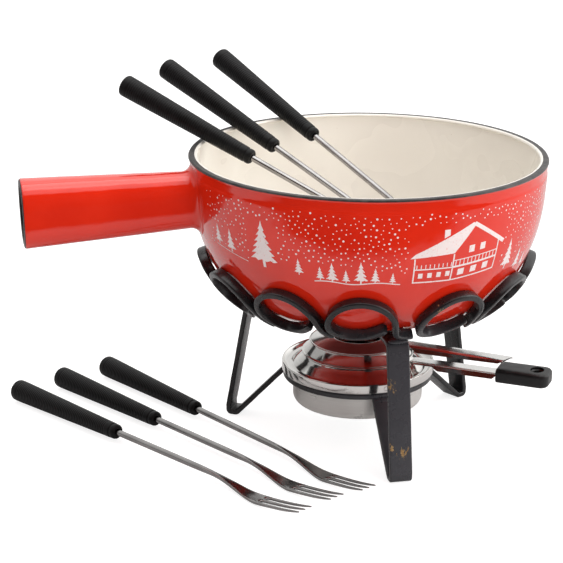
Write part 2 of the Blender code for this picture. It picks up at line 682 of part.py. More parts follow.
def fork_steel_points():
    """Upper and lower points by turns, in the fork's frame: across, up, along."""
    points = []
    for along, half_width, half_thick, height in FORK_STATIONS:
        roundness = max(0.0, min(1.0, (FLAT_FROM - along) / FLATTENING))
        tipness = max(0.0, (along - TIP_FROM) / (FORK_LENGTH - TIP_FROM)) ** 2
        for shaft, head, tip in zip(SHAFT_SHARES, HEAD_SHARES, TIP_SHARES):
            flat = head * (1 - tipness) + tip * tipness
            share = shaft * roundness + flat * (1 - roundness)
            bulge = math.sqrt(1 - share * share * ROUND_FALL)
            lift = half_thick * (bulge * roundness + (1 - roundness))
            points.append(Vector((share * half_width, height + lift, along)))
            points.append(Vector((share * half_width, height - lift, along)))
    return points


def fork_steel_faces():
    """Cells between stations i and lines j, left out between the tines and walled at the edges."""
    lines = len(HEAD_SHARES)

    def upper(i, j):
        return 2 * (lines * i + j)

    def lower(i, j):
        return upper(i, j) + 1

    cells = [
        (i, j) for i in range(len(FORK_STATIONS) - 1) for j in range(lines - 1)
        if i < TINE_STATION or j in TINE_COLUMNS
    ]
    faces = []
    for i, j in cells:
        faces.append((upper(i, j), upper(i + 1, j), upper(i + 1, j + 1), upper(i, j + 1)))
        faces.append((lower(i, j), lower(i, j + 1), lower(i + 1, j + 1), lower(i + 1, j)))
        walls = (  # neighbouring cell, and the two ends of the edge shared with it
            ((i, j - 1), (i, j), (i + 1, j)),
            ((i, j + 1), (i, j + 1), (i + 1, j + 1)),
            ((i - 1, j), (i, j), (i, j + 1)),
            ((i + 1, j), (i + 1, j), (i + 1, j + 1)),
        )
        for neighbour, start, end in walls:
            if neighbour not in cells:
                faces.append((upper(*start), upper(*end), lower(*end), lower(*start)))
    return faces


def build_fork(name, butt, azimuth, tilt):
    origin = AXIS + Vector(butt)
    ahead, sideways, up = sloping_axes(math.radians(azimuth), math.radians(tilt))
    frame = Matrix((sideways, up, ahead)).transposed()
    handle = revolved(FORK_HANDLE_PROFILE, FORK_SEGMENTS, origin, frame)
    add(name + "_handle", *handle, "black_plastic", origin)
    verts = [origin + frame @ point for point in fork_steel_points()]
    add(name + "_steel", verts, fork_steel_faces(), "steel", origin)


def main():
    clear_scene()
    build_pot()
    build_stand()
    build_burner()
    for i, fork in enumerate(FORKS):
        build_fork(f"fork_{i + 1}", *fork)


main()
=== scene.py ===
"""Looks of a fondue set: an enamelled pot on a three-legged stand, a burner and six forks.

Metres, +Z up, with the floor at z = 0. AXIS is the vertical axis of the pot and the stand, and
BURNER that of the burner. The pot's handle points towards -X. The camera stands on the -Y side
("front") and looks along +Y. In names, _R is a radius and _AZ an azimuth (from +X towards +Y).
"""
import math

import bmesh
import bpy
import numpy as np
from mathutils import Matrix, Vector, noise


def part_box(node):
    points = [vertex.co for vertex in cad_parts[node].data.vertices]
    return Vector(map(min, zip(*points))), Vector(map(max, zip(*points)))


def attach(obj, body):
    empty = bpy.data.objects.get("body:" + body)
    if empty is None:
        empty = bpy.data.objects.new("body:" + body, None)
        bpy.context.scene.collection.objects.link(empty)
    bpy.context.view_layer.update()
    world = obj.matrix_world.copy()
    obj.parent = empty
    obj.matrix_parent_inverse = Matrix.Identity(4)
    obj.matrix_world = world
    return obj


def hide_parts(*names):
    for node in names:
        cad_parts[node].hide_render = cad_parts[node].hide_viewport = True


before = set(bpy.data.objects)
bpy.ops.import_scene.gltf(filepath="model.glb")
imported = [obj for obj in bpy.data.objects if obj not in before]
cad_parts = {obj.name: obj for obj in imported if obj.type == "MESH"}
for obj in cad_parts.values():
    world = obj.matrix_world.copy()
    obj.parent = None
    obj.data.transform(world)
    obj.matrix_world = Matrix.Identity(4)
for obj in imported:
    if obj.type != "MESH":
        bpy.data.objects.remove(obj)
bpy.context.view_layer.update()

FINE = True
UP = Vector((0, 0, 1))
QUARTER = math.pi / 2

# ---------------------------------------------------------------- driving dimensions
ring_lo, ring_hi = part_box("burner_ring")
BURNER_X = -0.0044  # burner axis from the pot axis, along X
BURNER = Vector(((ring_lo.x + ring_hi.x) / 2, (ring_lo.y + ring_hi.y) / 2, 0.0))
AXIS = BURNER - Vector((BURNER_X, 0.0, 0.0))

# pot: outer radius at the rim, a straight taper, a side arc and a tighter corner arc
POT_BOTTOM, POT_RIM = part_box("caquelon")[0].z, 0.1972
POT_R, POT_WALL = 0.1200, 0.0045
POT_TAPER, POT_TURN = math.radians(4.0), math.radians(28.0)
POT_SIDE, POT_CORNER = 0.122, 0.060  # radii of the two arcs
SHOULDER_Z, SHOULDER_STEP = 0.1884, 0.00055

# pot handle: sizes are (half width, half height)
HANDLE_AZ, HANDLE_DROOP = math.radians(194.5), math.radians(2.0)
HANDLE_ROOT_R, HANDLE_END_R, HANDLE_ROOT_Z = 0.118, 0.2310, 0.1710
HANDLE_ROOT_SIZE, HANDLE_END_SIZE = (0.0150, 0.0185), (0.0190, 0.0226)
HANDLE_WALL, HANDLE_BORE = 0.0048, 0.086

# stand
LEG_AZ = [math.radians(a) for a in (-74.9, 165.1, 45.1)]
LEG_WIDTH, LEG_THICK, TAB_TOP = 0.0150, 0.0035, 0.0920
TAB_IN_R, LEG_BEND_R, FOOT_R = 0.057, 0.0830, 0.0988
SCROLLS_PER_LEG = 4
SCROLL_FIRST, SCROLL_PITCH = math.radians(18.0), math.radians(28.6)
SCROLL_BAR, SCROLL_WIDE, SCROLL_GAP = 0.0042, 0.0070, 0.0043
SCROLL_FROM, SCROLL_TO = math.radians(-59.0), math.radians(-22.0)
SCROLL_HALF_W = 0.0214
RING_INNER, RING_OUTER, RING_BOTTOM, RING_TOP = 0.0462, 0.0516, 0.0401, 0.0436

# burner
CUP_R, CUP_BOTTOM, CUP_TOP, CUP_WALL = 0.0447, 0.0224, 0.0436, 0.0012
DISH_R, DISH_BOTTOM, DISH_TOP = 0.0524, 0.0439, 0.0510
NECK_R, NECK_BASE_R, NECK_TOP = 0.0373, 0.0455, 0.0563
CAP_R, CAP_BEAD_R, CAP_TOP = 0.0385, 0.0337, 0.0668
STRIP_WIDTH, STRIP_THICK = 0.0126, 0.0010
LEVER_AZ, LEVER_END = math.radians(-22.5), 0.1080
LEVER_TOP = CAP_TOP + 0.0003 + STRIP_THICK
STRIP_AZ, STRIP_END, STRIP_TOP = math.radians(-18.5), 0.1180, 0.0556
GRIP_FROM, GRIP_TO, GRIP_WIDTH, GRIP_THICK = 0.1000, 0.1355, 0.0205, 0.0100
PAD_R, PAD_TOP = CUP_R - CUP_WALL - 0.0004, CUP_TOP - 0.0045

# forks: name, butt from AXIS, azimuth and downward tilt in degrees
FORK_LENGTH, FORK_HANDLE = 0.2880, 0.1100
FORK_BUTT_R, FORK_NOSE_R, FORK_SHAFT_R = 0.0076, 0.0053, 0.0015
FORKS = [
    ("fork_1", (-0.1697, 0.0543, 0.22910), -27.0, 20.70),
    ("fork_2", (-0.1463, 0.1040, 0.23140), -35.9, 22.75),
    ("fork_3", (-0.1106, 0.1440, 0.23160), -44.6, 21.98),
    ("fork_4", (-0.2492, 0.0362, 0.0079), -41.8, 0.474),
    ("fork_5", (-0.2223, 0.0642, 0.0079), -44.0, 0.474),
    ("fork_6", (-0.1923, 0.0891, 0.0079), -46.8, 0.474),
]


# ---------------------------------------------------------------- mesh helpers
def heading(azimuth, down=0.0):
    """Unit vector along an azimuth, tilted down by an angle."""
    level = math.cos(down)
    return Vector((math.cos(azimuth) * level, math.sin(azimuth) * level, -math.sin(down)))


def crosswise(azimuth):
    """Level unit vector a quarter turn on from an azimuth."""
    return Vector((-math.sin(azimuth), math.cos(azimuth), 0))


def ring_noise(angle, z, around, upward):
    """Noise that closes on itself round an axis, with its two frequencies."""
    return noise.noise(Vector((math.cos(angle) * around, math.sin(angle) * around, z * upward)))


def piece(name, shape, mats, body=None, node=None, index=None, sharp=40.0,
          matrix=None, tidy=True):
    """Adds a smooth object of (verts, faces). It rides on body and may replace a CAD node."""
    verts, faces = shape
    mesh = bpy.data.meshes.new(name)
    mesh.from_pydata([tuple(v) for v in verts], [], [tuple(f) for f in faces])
    for mat in mats:
        mesh.materials.append(mat)
    if index is not None:
        mesh.polygons.foreach_set("material_index", np.array(index, np.int32))
    if tidy:
        work = bmesh.new()
        work.from_mesh(mesh)
        bmesh.ops.remove_doubles(work, verts=work.verts, dist=1e-7)
        bmesh.ops.recalc_face_normals(work, faces=work.faces)
        work.to_mesh(mesh)
        work.free()
    mesh.shade_smooth()
    if sharp:
        mesh.set_sharp_from_angle(angle=math.radians(sharp))
    obj = bpy.data.objects.new(name, mesh)
    if matrix is not None:
        obj.matrix_world = matrix
    bpy.context.scene.collection.objects.link(obj)
    if body:
        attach(obj, body)
        if node:
            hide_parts(node)
    return obj


def skin(rings):
    """Faces between rings of vertex numbers. A ring that repeats one vertex gives triangles."""
    faces = []
    for ring, after in zip(rings, rings[1:]):
        for k in range(len(ring)):
            n = (k + 1) % len(ring)
            corners = list(dict.fromkeys((ring[k], ring[n], after[n], after[k])))
            if len(corners) > 2:
                faces.append(corners)
    return faces


def lathe(profile, segments, centre, wobble=None, closed=False):
    """(verts, faces) of a (radius, z) line turned about the vertical through centre."""
    verts, rings = [], []
    for radius, z in profile:
        if radius < 1e-7:
            rings.append([len(verts)] * segments)
            verts.append((centre.x, centre.y, z))
            continue
        rings.append(list(range(len(verts), len(verts) + segments)))
        for k in range(segments):
            turn = 2 * math.pi * k / segments
            reach = radius + (wobble(turn, z, radius) if wobble else 0.0)
            verts.append((centre.x + reach * math.cos(turn), centre.y + reach * math.sin(turn), z))
    if closed:
        rings.append(rings[0])
    return verts, skin(rings)


def loft(rings, caps=(True, True)):
    """(verts, faces) through rings of points, with caps on the first and last."""
    verts = [point for ring in rings for point in ring]
    count = len(rings[0])
    numbers = [range(i * count, (i + 1) * count) for i in range(len(rings))]
    faces = skin(numbers)
    for wanted, end in zip(caps, (numbers[0], numbers[-1])):
        if wanted:
            faces.append(tuple(end))
    return verts, faces


def round_rect(half_w, half_h, radius, steps=4):
    """Outline of a bar with rounded edges, as (x, y) points."""
    points = []
    for x, y, start in ((1, 1, 0), (-1, 1, 90), (-1, -1, 180), (1, -1, 270)):
        for i in range(steps + 1):
            turn = math.radians(start + 90 * i / steps)
            points.append((x * (half_w - radius) + radius * math.cos(turn),
                           y * (half_h - radius) + radius * math.sin(turn)))
    return points


def superellipse(centre, side, up, half_w, half_h, points, powers):
    """A squarish closed ring. The powers set how square it is along side and along up."""
    ring = []
    for k in range(points):
        turn = 2 * math.pi * (k + 0.5) / points
        cos, sin = math.cos(turn), math.sin(turn)
        x = math.copysign(abs(cos) ** (2 / powers[0]), cos) * half_w
        y = math.copysign(abs(sin) ** (2 / powers[1]), sin) * half_h
        ring.append(centre + side * x + up * y)
    return ring


def catmull(points, steps):
    """A smooth line through the points, with so many steps to each span."""
    points = [np.array(p, float) for p in points]
    points = [2 * points[0] - points[1], *points, 2 * points[-1] - points[-2]]
    line = []
    for before, start, end, after in zip(points, points[1:], points[2:], points[3:]):
        for k in range(steps):
            part = k / steps
            line.append(0.5 * (2 * start + (end - before) * part
                               + (2 * before - 5 * start + 4 * end - after) * part**2
                               + (3 * start - before - 3 * end + after) * part**3))
    line.append(points[-2])
    return line


def arc(centre, radius, start, end, steps):
    turns = [start + (end - start) * i / steps for i in range(steps + 1)]
    return [(centre[0] + radius * math.cos(turn), centre[1] + radius * math.sin(turn))
            for turn in turns]


def either_side(line, i):
    """The points before and after point i, or point i itself at an end."""
    return line[max(i - 1, 0)], line[min(i + 1, len(line) - 1)]


def end_scale(line, i, last, second):
    """Scale of a bar's section at point i: last at its ends, second next to them, else 1."""
    if i in (0, len(line) - 1):
        return last
    return second if i in (1, len(line) - 2) else 1.0


# ---------------------------------------------------------------- shader helpers
class Graph:
    """Short calls for shader nodes. A value is a socket, a number, a colour or a vector."""

    def __init__(self, tree, coord):
        self.tree = tree
        self.coord = self.node("TexCoord").outputs[coord]

    def node(self, kind, inputs={}, **settings):
        node = self.tree.nodes.new("ShaderNode" + kind)
        for name, value in settings.items():
            setattr(node, name, value)
        for key, value in inputs.items():
            self.put(node.inputs[key], value)
        return node

    def put(self, socket, value):
        if isinstance(value, bpy.types.NodeSocket):
            self.tree.links.new(value, socket)
        elif value is not None:
            socket.default_value = value

    def math(self, operation, first, second=None):
        return self.node("Math", {0: first, 1: second}, operation=operation).outputs[0]

    def times(self, first, second):
        return self.math("MULTIPLY", first, second)

    def plus(self, first, second):
        return self.math("ADD", first, second)

    def remap(self, value, span=(0.3, 0.7), to=(0.0, 1.0), curve="LINEAR"):
        """The value's span carried to another one, and clamped."""
        inputs = {0: value, 1: span[0], 2: span[1], 3: to[0], 4: to[1]}
        return self.node("MapRange", inputs, interpolation_type=curve).outputs[0]

    def mix(self, share, first, second):
        """From the first colour to the second."""
        return self.node("Mix", {0: share, 6: first, 7: second}, data_type="RGBA").outputs[2]

    def two_tone(self, value, first, second, span=(0.3, 0.7)):
        """From one colour to the other as the value crosses its span."""
        return self.mix(self.remap(value, span), first, second)

    def blend(self, share, first, second):
        """From the first number to the second."""
        return self.node("Mix", {0: share, 2: first, 3: second}, data_type="FLOAT").outputs[0]

    def split(self, vector):
        return self.node("SeparateXYZ", {0: vector}).outputs

    def join(self, x, y, z):
        return self.node("CombineXYZ", {0: x, 1: y, 2: z}).outputs[0]


class Material(Graph):
    """A principled material. Its colour is also the viewport colour; coat is (weight, rough)."""

    def __init__(self, name, colour, rough, metal=0.0, coat=None):
        self.data = bpy.data.materials.new(name)
        self.data.use_nodes = True
        self.data.diffuse_color = colour
        super().__init__(self.data.node_tree, "Object")
        self.normal = None
        self.set("Base Color", colour)
        self.set("Roughness", rough)
        self.set("Metallic", metal)
        if coat:
            self.set("Coat Weight", coat[0])
            self.set("Coat Roughness", coat[1])

    def set(self, name, value):
        self.put(self.tree.nodes["Principled BSDF"].inputs[name], value)

    def scaled(self, x, y, z):
        inputs = {0: self.coord, 1: (x, y, z)}
        return self.node("VectorMath", inputs, operation="MULTIPLY").outputs[0]

    def noise(self, scale, detail=4.0, rough=0.5, coord=None, warp=0.0):
        inputs = {"Vector": coord or self.coord, "Scale": scale, "Detail": detail,
                  "Roughness": rough, "Distortion": warp}
        return self.node("TexNoise", inputs).outputs[0]

    def voronoi(self, scale):
        inputs = {"Vector": self.coord, "Scale": scale}
        return self.node("TexVoronoi", inputs).outputs["Distance"]

    def bump(self, height, distance, strength):
        """Lays relief over any that is there already."""
        inputs = {"Strength": strength, "Distance": distance, "Height": height,
                  "Normal": self.normal}
        self.normal = self.node("Bump", inputs).outputs[0]
        self.set("Normal", self.normal)

    def near(self, point, radius):
        """1 at the point, falling to 0 at the radius."""
        inputs = {0: self.coord, 1: tuple(point)}
        away = self.node("VectorMath", inputs, operation="DISTANCE").outputs["Value"]
        return self.remap(away, span=(0.0, radius), to=(1.0, 0.0))

    def offset(self, centre):
        """(x, y, height) seen from a vertical axis."""
        x, y, z = self.split(self.coord)
        return self.math("SUBTRACT", x, centre.x), self.math("SUBTRACT", y, centre.y), z

    def length(self, x, y):
        return self.math("SQRT", self.plus(self.times(x, x), self.times(y, y)))

    def polar(self, centre):
        """(distance, height, azimuth) about a vertical axis."""
        x, y, z = self.offset(centre)
        return self.length(x, y), z, self.math("ARCTAN2", y, x)


def rgb(*channels):
    """sRGB 0-255 to the linear colour a shader takes, with alpha 1."""
    return (*(((c / 255 + 0.055) / 1.055) ** 2.4 if c > 10 else c / 255 / 12.92
              for c in channels), 1)


# ---------------------------------------------------------------- materials
def red_enamel():
    mat = Material("red_enamel", (0.66, 0.017, 0.0045, 1), rough=0.22, coat=(0.35, 0.05))
    pool = mat.noise(scale=26.0, detail=3.0, rough=0.55)
    glaze = mat.two_tone(pool, (0.67, 0.020, 0.0060, 1), (0.75, 0.026, 0.0078, 1))
    gloss = mat.remap(mat.noise(scale=90.0), to=(0.045, 0.090))
    # painted shade under the pot, partly also flame scorch: the underside is darkened, out to a
    # ragged edge
    x, y, height = mat.offset(AXIS)
    ragged = mat.times(mat.noise(scale=60.0, detail=3.0), 0.014)
    scorch_and_shade = mat.times(
        mat.remap(height, span=(POT_BOTTOM + 0.0065, POT_BOTTOM + 0.0010)),
        mat.remap(mat.plus(mat.length(x, y), ragged), span=(0.072, 0.040)))
    most = mat.times(scorch_and_shade, 0.85)
    # the dark underside colour is painted shade, partly scorch
    mat.set("Base Color", mat.mix(most, glaze, (0.16, 0.008, 0.005, 1)))
    mat.set("Roughness", mat.blend(scorch_and_shade, gloss, 0.55))
    mat.set("Coat Weight", mat.remap(scorch_and_shade, span=(0.0, 0.6), to=(0.35, 0.0)))
    mat.set("Specular IOR Level", mat.remap(scorch_and_shade, span=(0.0, 0.6), to=(0.5, 0.15)))
    mat.bump(mat.noise(scale=48.0, detail=2.0), distance=0.0011, strength=0.40)
    mat.bump(mat.noise(scale=330.0, detail=2.0, rough=0.45), distance=0.00008, strength=0.60)
    mat.set("Coat Normal", mat.normal)
    return mat.data


def cream_enamel():
    mat = Material("cream_enamel", rgb(243, 237, 222), rough=0.28, coat=(0.35, 0.08))
    cloud = mat.noise(scale=9.0, detail=2.0, rough=0.45)
    glaze = mat.two_tone(cloud, (0.870, 0.838, 0.766, 1), (0.862, 0.828, 0.754, 1),
                         span=(0.35, 0.7))
    specks = mat.remap(mat.voronoi(scale=420.0), span=(0.05, 0.09), to=(1.0, 0.0))
    few = mat.remap(mat.noise(scale=70.0, detail=2.0), span=(0.62, 0.66))
    mat.set("Base Color", mat.mix(mat.times(specks, few), glaze, rgb(150, 128, 98)))
    mat.set("Roughness", mat.remap(mat.noise(scale=16.0, detail=2.0), to=(0.25, 0.30)))
    mat.bump(mat.noise(scale=14.0, detail=2.0), distance=0.00030, strength=0.3)
    mat.bump(mat.noise(scale=380.0, detail=2.0), distance=0.00005, strength=0.4)
    return mat.data


def bare_iron():
    mat = Material("rim_iron", rgb(36, 35, 35), rough=0.42, metal=0.2)
    grain = mat.noise(scale=900.0, rough=0.6)
    patch = mat.noise(scale=160.0, detail=3.0)
    mat.set("Base Color", mat.two_tone(patch, rgb(30, 29, 30), rgb(66, 62, 60), span=(0.35, 0.7)))
    mat.set("Roughness", mat.remap(grain, to=(0.32, 0.5)))
    mat.bump(patch, distance=0.0003, strength=0.4)
    mat.bump(grain, distance=0.00012, strength=0.6)
    return mat.data


def white_print():
    """White print, worn through to pink in places."""
    mat = Material("white_print", rgb(244, 238, 236), rough=0.30, coat=(0.4, 0.08))
    wear = mat.noise(scale=700.0, detail=3.0, rough=0.6)
    mat.set("Base Color", mat.two_tone(wear, rgb(240, 228, 226), rgb(232, 160, 152),
                                       span=(0.60, 0.72)))
    mat.set("Roughness", mat.remap(mat.noise(scale=200.0), to=(0.24, 0.38)))
    mat.bump(wear, distance=0.00003, strength=0.5)
    return mat.data


def paint_chips():
    """(centre, radius) of the places where the stand's paint has chipped."""
    away, side = heading(LEG_AZ[0]), crosswise(LEG_AZ[0])
    # on the front leg: distance from the axis, sideways, height, radius
    on_leg = [(0.0895, -0.0062, 0.0640, 0.0085), (0.0965, 0.0010, 0.0205, 0.0090),
              (0.0960, -0.0066, 0.0240, 0.0050)]
    chips = [(AXIS + away * out + side * across + UP * z, radius)
             for out, across, z, radius in on_leg]
    # on the scrolls: place from the axis, radius
    on_scrolls = [((0.0480, -0.0960, 0.1215), 0.0110), ((0.0560, -0.0880, 0.1180), 0.0050)]
    return chips + [(AXIS + Vector(place), radius) for place, radius in on_scrolls]


def black_paint():
    """Black paint with a painted grey sheen on the front leg, flaking to bare metal at the chips."""
    mat = Material("black_paint", rgb(30, 30, 32), rough=0.42)
    cloud = mat.noise(scale=60.0, rough=0.6)
    fine = mat.noise(scale=1100.0, detail=3.0)
    paint = mat.two_tone(cloud, rgb(17, 17, 18), rgb(33, 33, 35), span=(0.3, 0.75))
    # painted sheen: the front leg's paint turns greyish where light catches it
    front = AXIS + heading(LEG_AZ[0]) * (FOOT_R - 0.012) + UP * 0.045
    uneven = mat.remap(mat.noise(scale=75.0, rough=0.6), span=(0.2, 0.6), to=(0.75, 1.0))
    painted_sheen = mat.times(mat.near(front, radius=0.075), uneven)
    painted_sheen_cover = mat.math("MINIMUM", mat.times(painted_sheen, 2.2), 1.0)
    paint = mat.mix(painted_sheen_cover, paint, rgb(58, 59, 63))
    chip = None
    for point, radius in paint_chips():
        spot = mat.near(point, radius)
        chip = spot if chip is None else mat.math("MAXIMUM", chip, spot)
    flake = mat.noise(scale=520.0, detail=5.0, rough=0.7, coord=mat.scaled(1.0, 1.0, 0.55),
                      warp=0.6)
    bare = mat.remap(mat.plus(flake, mat.times(chip, 0.34)), span=(0.775, 0.80))
    metal = mat.two_tone(mat.noise(scale=1500.0), rgb(150, 108, 58), rgb(212, 184, 132),
                         span=(0.35, 0.65))
    mat.set("Base Color", mat.mix(bare, paint, metal))
    mat.set("Metallic", mat.times(bare, 0.75))
    mat.set("Roughness", mat.blend(bare, mat.remap(cloud, to=(0.22, 0.34)), 0.38))
    mat.bump(mat.noise(scale=190.0, detail=3.0), distance=0.0005, strength=0.35)
    depth = mat.math("SUBTRACT", mat.times(fine, 0.30), bare)
    mat.bump(depth, distance=0.00012, strength=0.75)
    return mat.data


def turned_steel(name, tint, gloss, groove, brushed, metal):
    """Steel spun on a lathe, with fine circular lines. gloss is its span of roughness."""
    mat = Material(name, tint, rough=0.2, metal=metal)
    radius, z, azimuth = mat.polar(BURNER)
    fine, slow = 5200.0, 1.6  # frequency across the lines and along them
    swirl = mat.join(mat.times(radius, fine), mat.times(z, fine), mat.times(azimuth, slow))
    lines = mat.noise(scale=1.0, detail=3.0, rough=0.6, coord=swirl)
    smear = mat.noise(scale=34.0, rough=0.6)
    darker = (*(c * 0.86 for c in tint[:3]), 1)
    mat.set("Base Color", mat.two_tone(lines, darker, tint))
    mat.set("Roughness", mat.plus(mat.remap(smear, to=gloss), mat.times(lines, 0.05)))
    mat.set("Anisotropic", brushed)
    mat.set("Tangent", mat.node("Tangent", direction_type="RADIAL", axis="Z").outputs[0])
    mat.bump(lines, distance=0.00002, strength=groove)
    return mat.data


def strip_steel(azimuth, name):
    """Rolled strip, with fine lines along its length."""
    mat = Material(name, rgb(226, 224, 220), rough=0.2, metal=1.0)
    radius, z, angle = mat.polar(BURNER)
    across = mat.times(mat.math("SINE", mat.math("SUBTRACT", angle, azimuth)), radius)
    slow, fine = 40.0, 4200.0  # frequency along the lines and across them
    grain = mat.join(mat.times(radius, slow), mat.times(across, fine), mat.times(z, fine))
    lines = mat.noise(scale=1.0, detail=3.0, rough=0.6, coord=grain)
    mat.set("Base Color", mat.two_tone(lines, rgb(228, 227, 224), rgb(246, 245, 243)))
    mat.set("Roughness", mat.remap(mat.noise(scale=60.0), to=(0.09, 0.18)))
    mat.bump(lines, distance=0.00002, strength=0.4)
    return mat.data


def fork_steel():
    """Drawn steel, with fine lines along the fork."""
    mat = Material("fork_steel", rgb(196, 195, 193), rough=0.2, metal=1.0)
    lines = mat.noise(scale=1.0, detail=3.0, rough=0.6, coord=mat.scaled(60.0, 3600.0, 3600.0))
    smear = mat.noise(scale=45.0, rough=0.6)
    mat.set("Base Color", mat.two_tone(smear, rgb(158, 156, 155), rgb(132, 130, 129),
                                       span=(0.35, 0.7)))
    mat.set("Roughness", mat.remap(smear, to=(0.10, 0.20)))
    mat.bump(lines, distance=0.00003, strength=0.45)
    return mat.data


def fork_plastic():
    mat = Material("fork_plastic", rgb(36, 36, 37), rough=0.42)
    grain = mat.noise(scale=1400.0, detail=3.0, rough=0.55)
    cloud = mat.noise(scale=90.0, rough=0.6)
    mat.set("Base Color", mat.two_tone(cloud, rgb(11, 11, 11), rgb(21, 21, 22), span=(0.3, 0.75)))
    mat.set("Roughness", mat.remap(cloud, to=(0.38, 0.52)))
    mat.set("Specular IOR Level", 0.16)
    mat.bump(grain, distance=0.00006, strength=0.6)
    return mat.data


def grip_plastic():
    mat = Material("grip_plastic", rgb(32, 32, 34), rough=0.4)
    grain = mat.noise(scale=900.0, rough=0.6)
    cloud = mat.noise(scale=110.0, detail=3.0)
    mat.set("Base Color", mat.two_tone(cloud, rgb(13, 13, 13), rgb(26, 26, 27)))
    mat.set("Roughness", mat.remap(cloud, to=(0.30, 0.44)))
    mat.set("Specular IOR Level", 0.38)
    mat.bump(grain, distance=0.0001, strength=0.5)
    return mat.data


def fibre_pad():
    mat = Material("pad_fibre", rgb(214, 208, 192), rough=0.9)
    hair = mat.noise(scale=900.0, detail=6.0, rough=0.7, coord=mat.scaled(1.0, 0.25, 1.0),
                     warp=1.2)
    mat.set("Base Color", mat.mix(hair, rgb(188, 180, 160), rgb(232, 228, 216)))
    mat.bump(hair, distance=0.0006, strength=0.8)
    return mat.data


def wire_gauze():
    mat = Material("gauze_wire", rgb(150, 146, 140), rough=0.4, metal=1.0)
    soot = mat.noise(scale=120.0)
    mat.set("Base Color", mat.two_tone(soot, rgb(164, 160, 152), rgb(96, 90, 84)))
    mat.set("Roughness", mat.remap(soot, to=(0.32, 0.55)))
    mat.bump(mat.noise(scale=1800.0), distance=0.00005, strength=0.4)
    return mat.data


def floor_material():
    """Pale floor. In reflections it is bright around the set and dark towards the front."""
    mat = Material("floor_white", (0.45, 0.45, 0.45, 1), rough=0.8)
    grain = mat.noise(scale=6.0, detail=3.0)
    path = mat.node("LightPath").outputs
    near = mat.remap(mat.split(mat.coord)[1], span=(-0.37, -0.27))
    gone = mat.times(path["Is Glossy Ray"], mat.math("SUBTRACT", 1.0, near))
    pale = mat.mix(grain, (0.445, 0.445, 0.445, 1), (0.455, 0.455, 0.455, 1))
    mat.set("Base Color", mat.mix(gone, pale, (0.03, 0.02, 0.02, 1)))
    mat.set("Specular IOR Level", 0.0)
    mat.set("Emission Color", (1.0, 1.0, 1.0, 1.0))
    seen, mirrored = 0.80, 0.16  # glow in direct view and in reflections
    shine = mat.times(mat.times(path["Is Glossy Ray"], near), mirrored)
    mat.set("Emission Strength", mat.plus(mat.times(path["Is Camera Ray"], seen), shine))
    mat.bump(mat.noise(scale=300.0), distance=0.00005, strength=0.2)
    return mat.data


# ---------------------------------------------------------------- pot
# heights where the corner arc and the side arc end, and the arcs' centres as (radius, z)
CORNER_END_Z = POT_BOTTOM + POT_CORNER * (1 - math.sin(POT_TURN))
SIDE_END_Z = CORNER_END_Z + POT_SIDE * (math.sin(POT_TURN) - math.sin(POT_TAPER))
CORNER = (
    POT_R - (POT_RIM - SIDE_END_Z) * math.tan(POT_TAPER)
    - POT_SIDE * (math.cos(POT_TAPER) - math.cos(POT_TURN)) - POT_CORNER * math.cos(POT_TURN),
    POT_BOTTOM + POT_CORNER,
)
SIDE = (CORNER[0] - (POT_SIDE - POT_CORNER) * math.cos(POT_TURN),
        CORNER[1] + (POT_SIDE - POT_CORNER) * math.sin(POT_TURN))


def pot_radius(z):
    """The plain outside of the bowl."""
    if z >= SIDE_END_Z:
        return POT_R - (POT_RIM - z) * math.tan(POT_TAPER)
    (centre_r, centre_z), radius = (SIDE, POT_SIDE) if z >= CORNER_END_Z else (CORNER, POT_CORNER)
    return centre_r + math.sqrt(max(radius**2 - (centre_z - z) ** 2, 0.0))


def shoulder(z):
    """The band under the rim stands very slightly in from the body below it."""
    step = 1 / (1 + math.exp(-(z - SHOULDER_Z) / SHOULDER_STEP))
    return -SHOULDER_STEP * step


def sway(angle, z):
    """The slow unevenness of a cast and enamelled wall."""
    point = Vector((math.cos(angle) * 2.1, math.sin(angle) * 2.1, z * 22.0))
    return 0.00016 * noise.noise(point) + 0.00006 * noise.noise(point * 3.1)


def build_pot(red, cream, iron):
    outside = [(0.0, POT_BOTTOM), (0.020, POT_BOTTOM), (0.040, POT_BOTTOM)]
    outside += arc(CORNER, POT_CORNER, -QUARTER, -POT_TURN, 34)
    outside += arc(SIDE, POT_SIDE, -POT_TURN, -POT_TAPER, 26)[1:]
    outside += [(pot_radius(z), z) for z in np.linspace(SIDE_END_Z, POT_RIM - 0.0013, 34)[1:]]
    edge = 0.0009
    rim = arc((POT_R - 0.0013, POT_RIM - edge), edge, 0.45, QUARTER, 5)
    rim += [(POT_R - 0.0022, POT_RIM - 0.00002), (POT_R - 0.0029, POT_RIM - 0.00006)]
    lip = arc((POT_R - POT_WALL - 0.0002, POT_RIM - 0.0016), 0.0015,
              math.pi * 0.40, math.pi * 0.97, 6)
    inside = [(pot_radius(z) - POT_WALL, z) for z in np.linspace(POT_RIM - 0.0026, SIDE_END_Z, 14)]
    inside += arc(SIDE, POT_SIDE - POT_WALL, -POT_TAPER, -POT_TURN, 20)[1:]
    inside += arc(CORNER, POT_CORNER - POT_WALL, -POT_TURN, -QUARTER, 30)[1:]
    inside += [(radius, POT_BOTTOM + POT_WALL) for radius in (0.040, 0.020, 0.0)]

    def wobble(angle, z, radius):
        if radius < 0.03:
            return 0.0
        if z > POT_RIM - 0.0015:
            return sway(angle, z) + 0.00012 * ring_noise(angle, z, 38, 900)
        is_outside = radius > pot_radius(z) - 0.5 * POT_WALL
        return sway(angle, z) + (shoulder(z) if is_outside else 0.0)

    segments = 288 if FINE else 144
    verts, faces = lathe(outside + rim + lip + inside, segments, AXIS, wobble)
    red_steps = len(outside) - 1
    rim_steps = red_steps + len(rim)
    steps = [i // segments for i in range(len(faces))]
    index = [0 if step < red_steps else 1 if step <= rim_steps else 2 for step in steps]
    piece("pot_bowl", (verts, faces), [red, iron, cream], "pot", "caquelon",
          index, tidy=False)


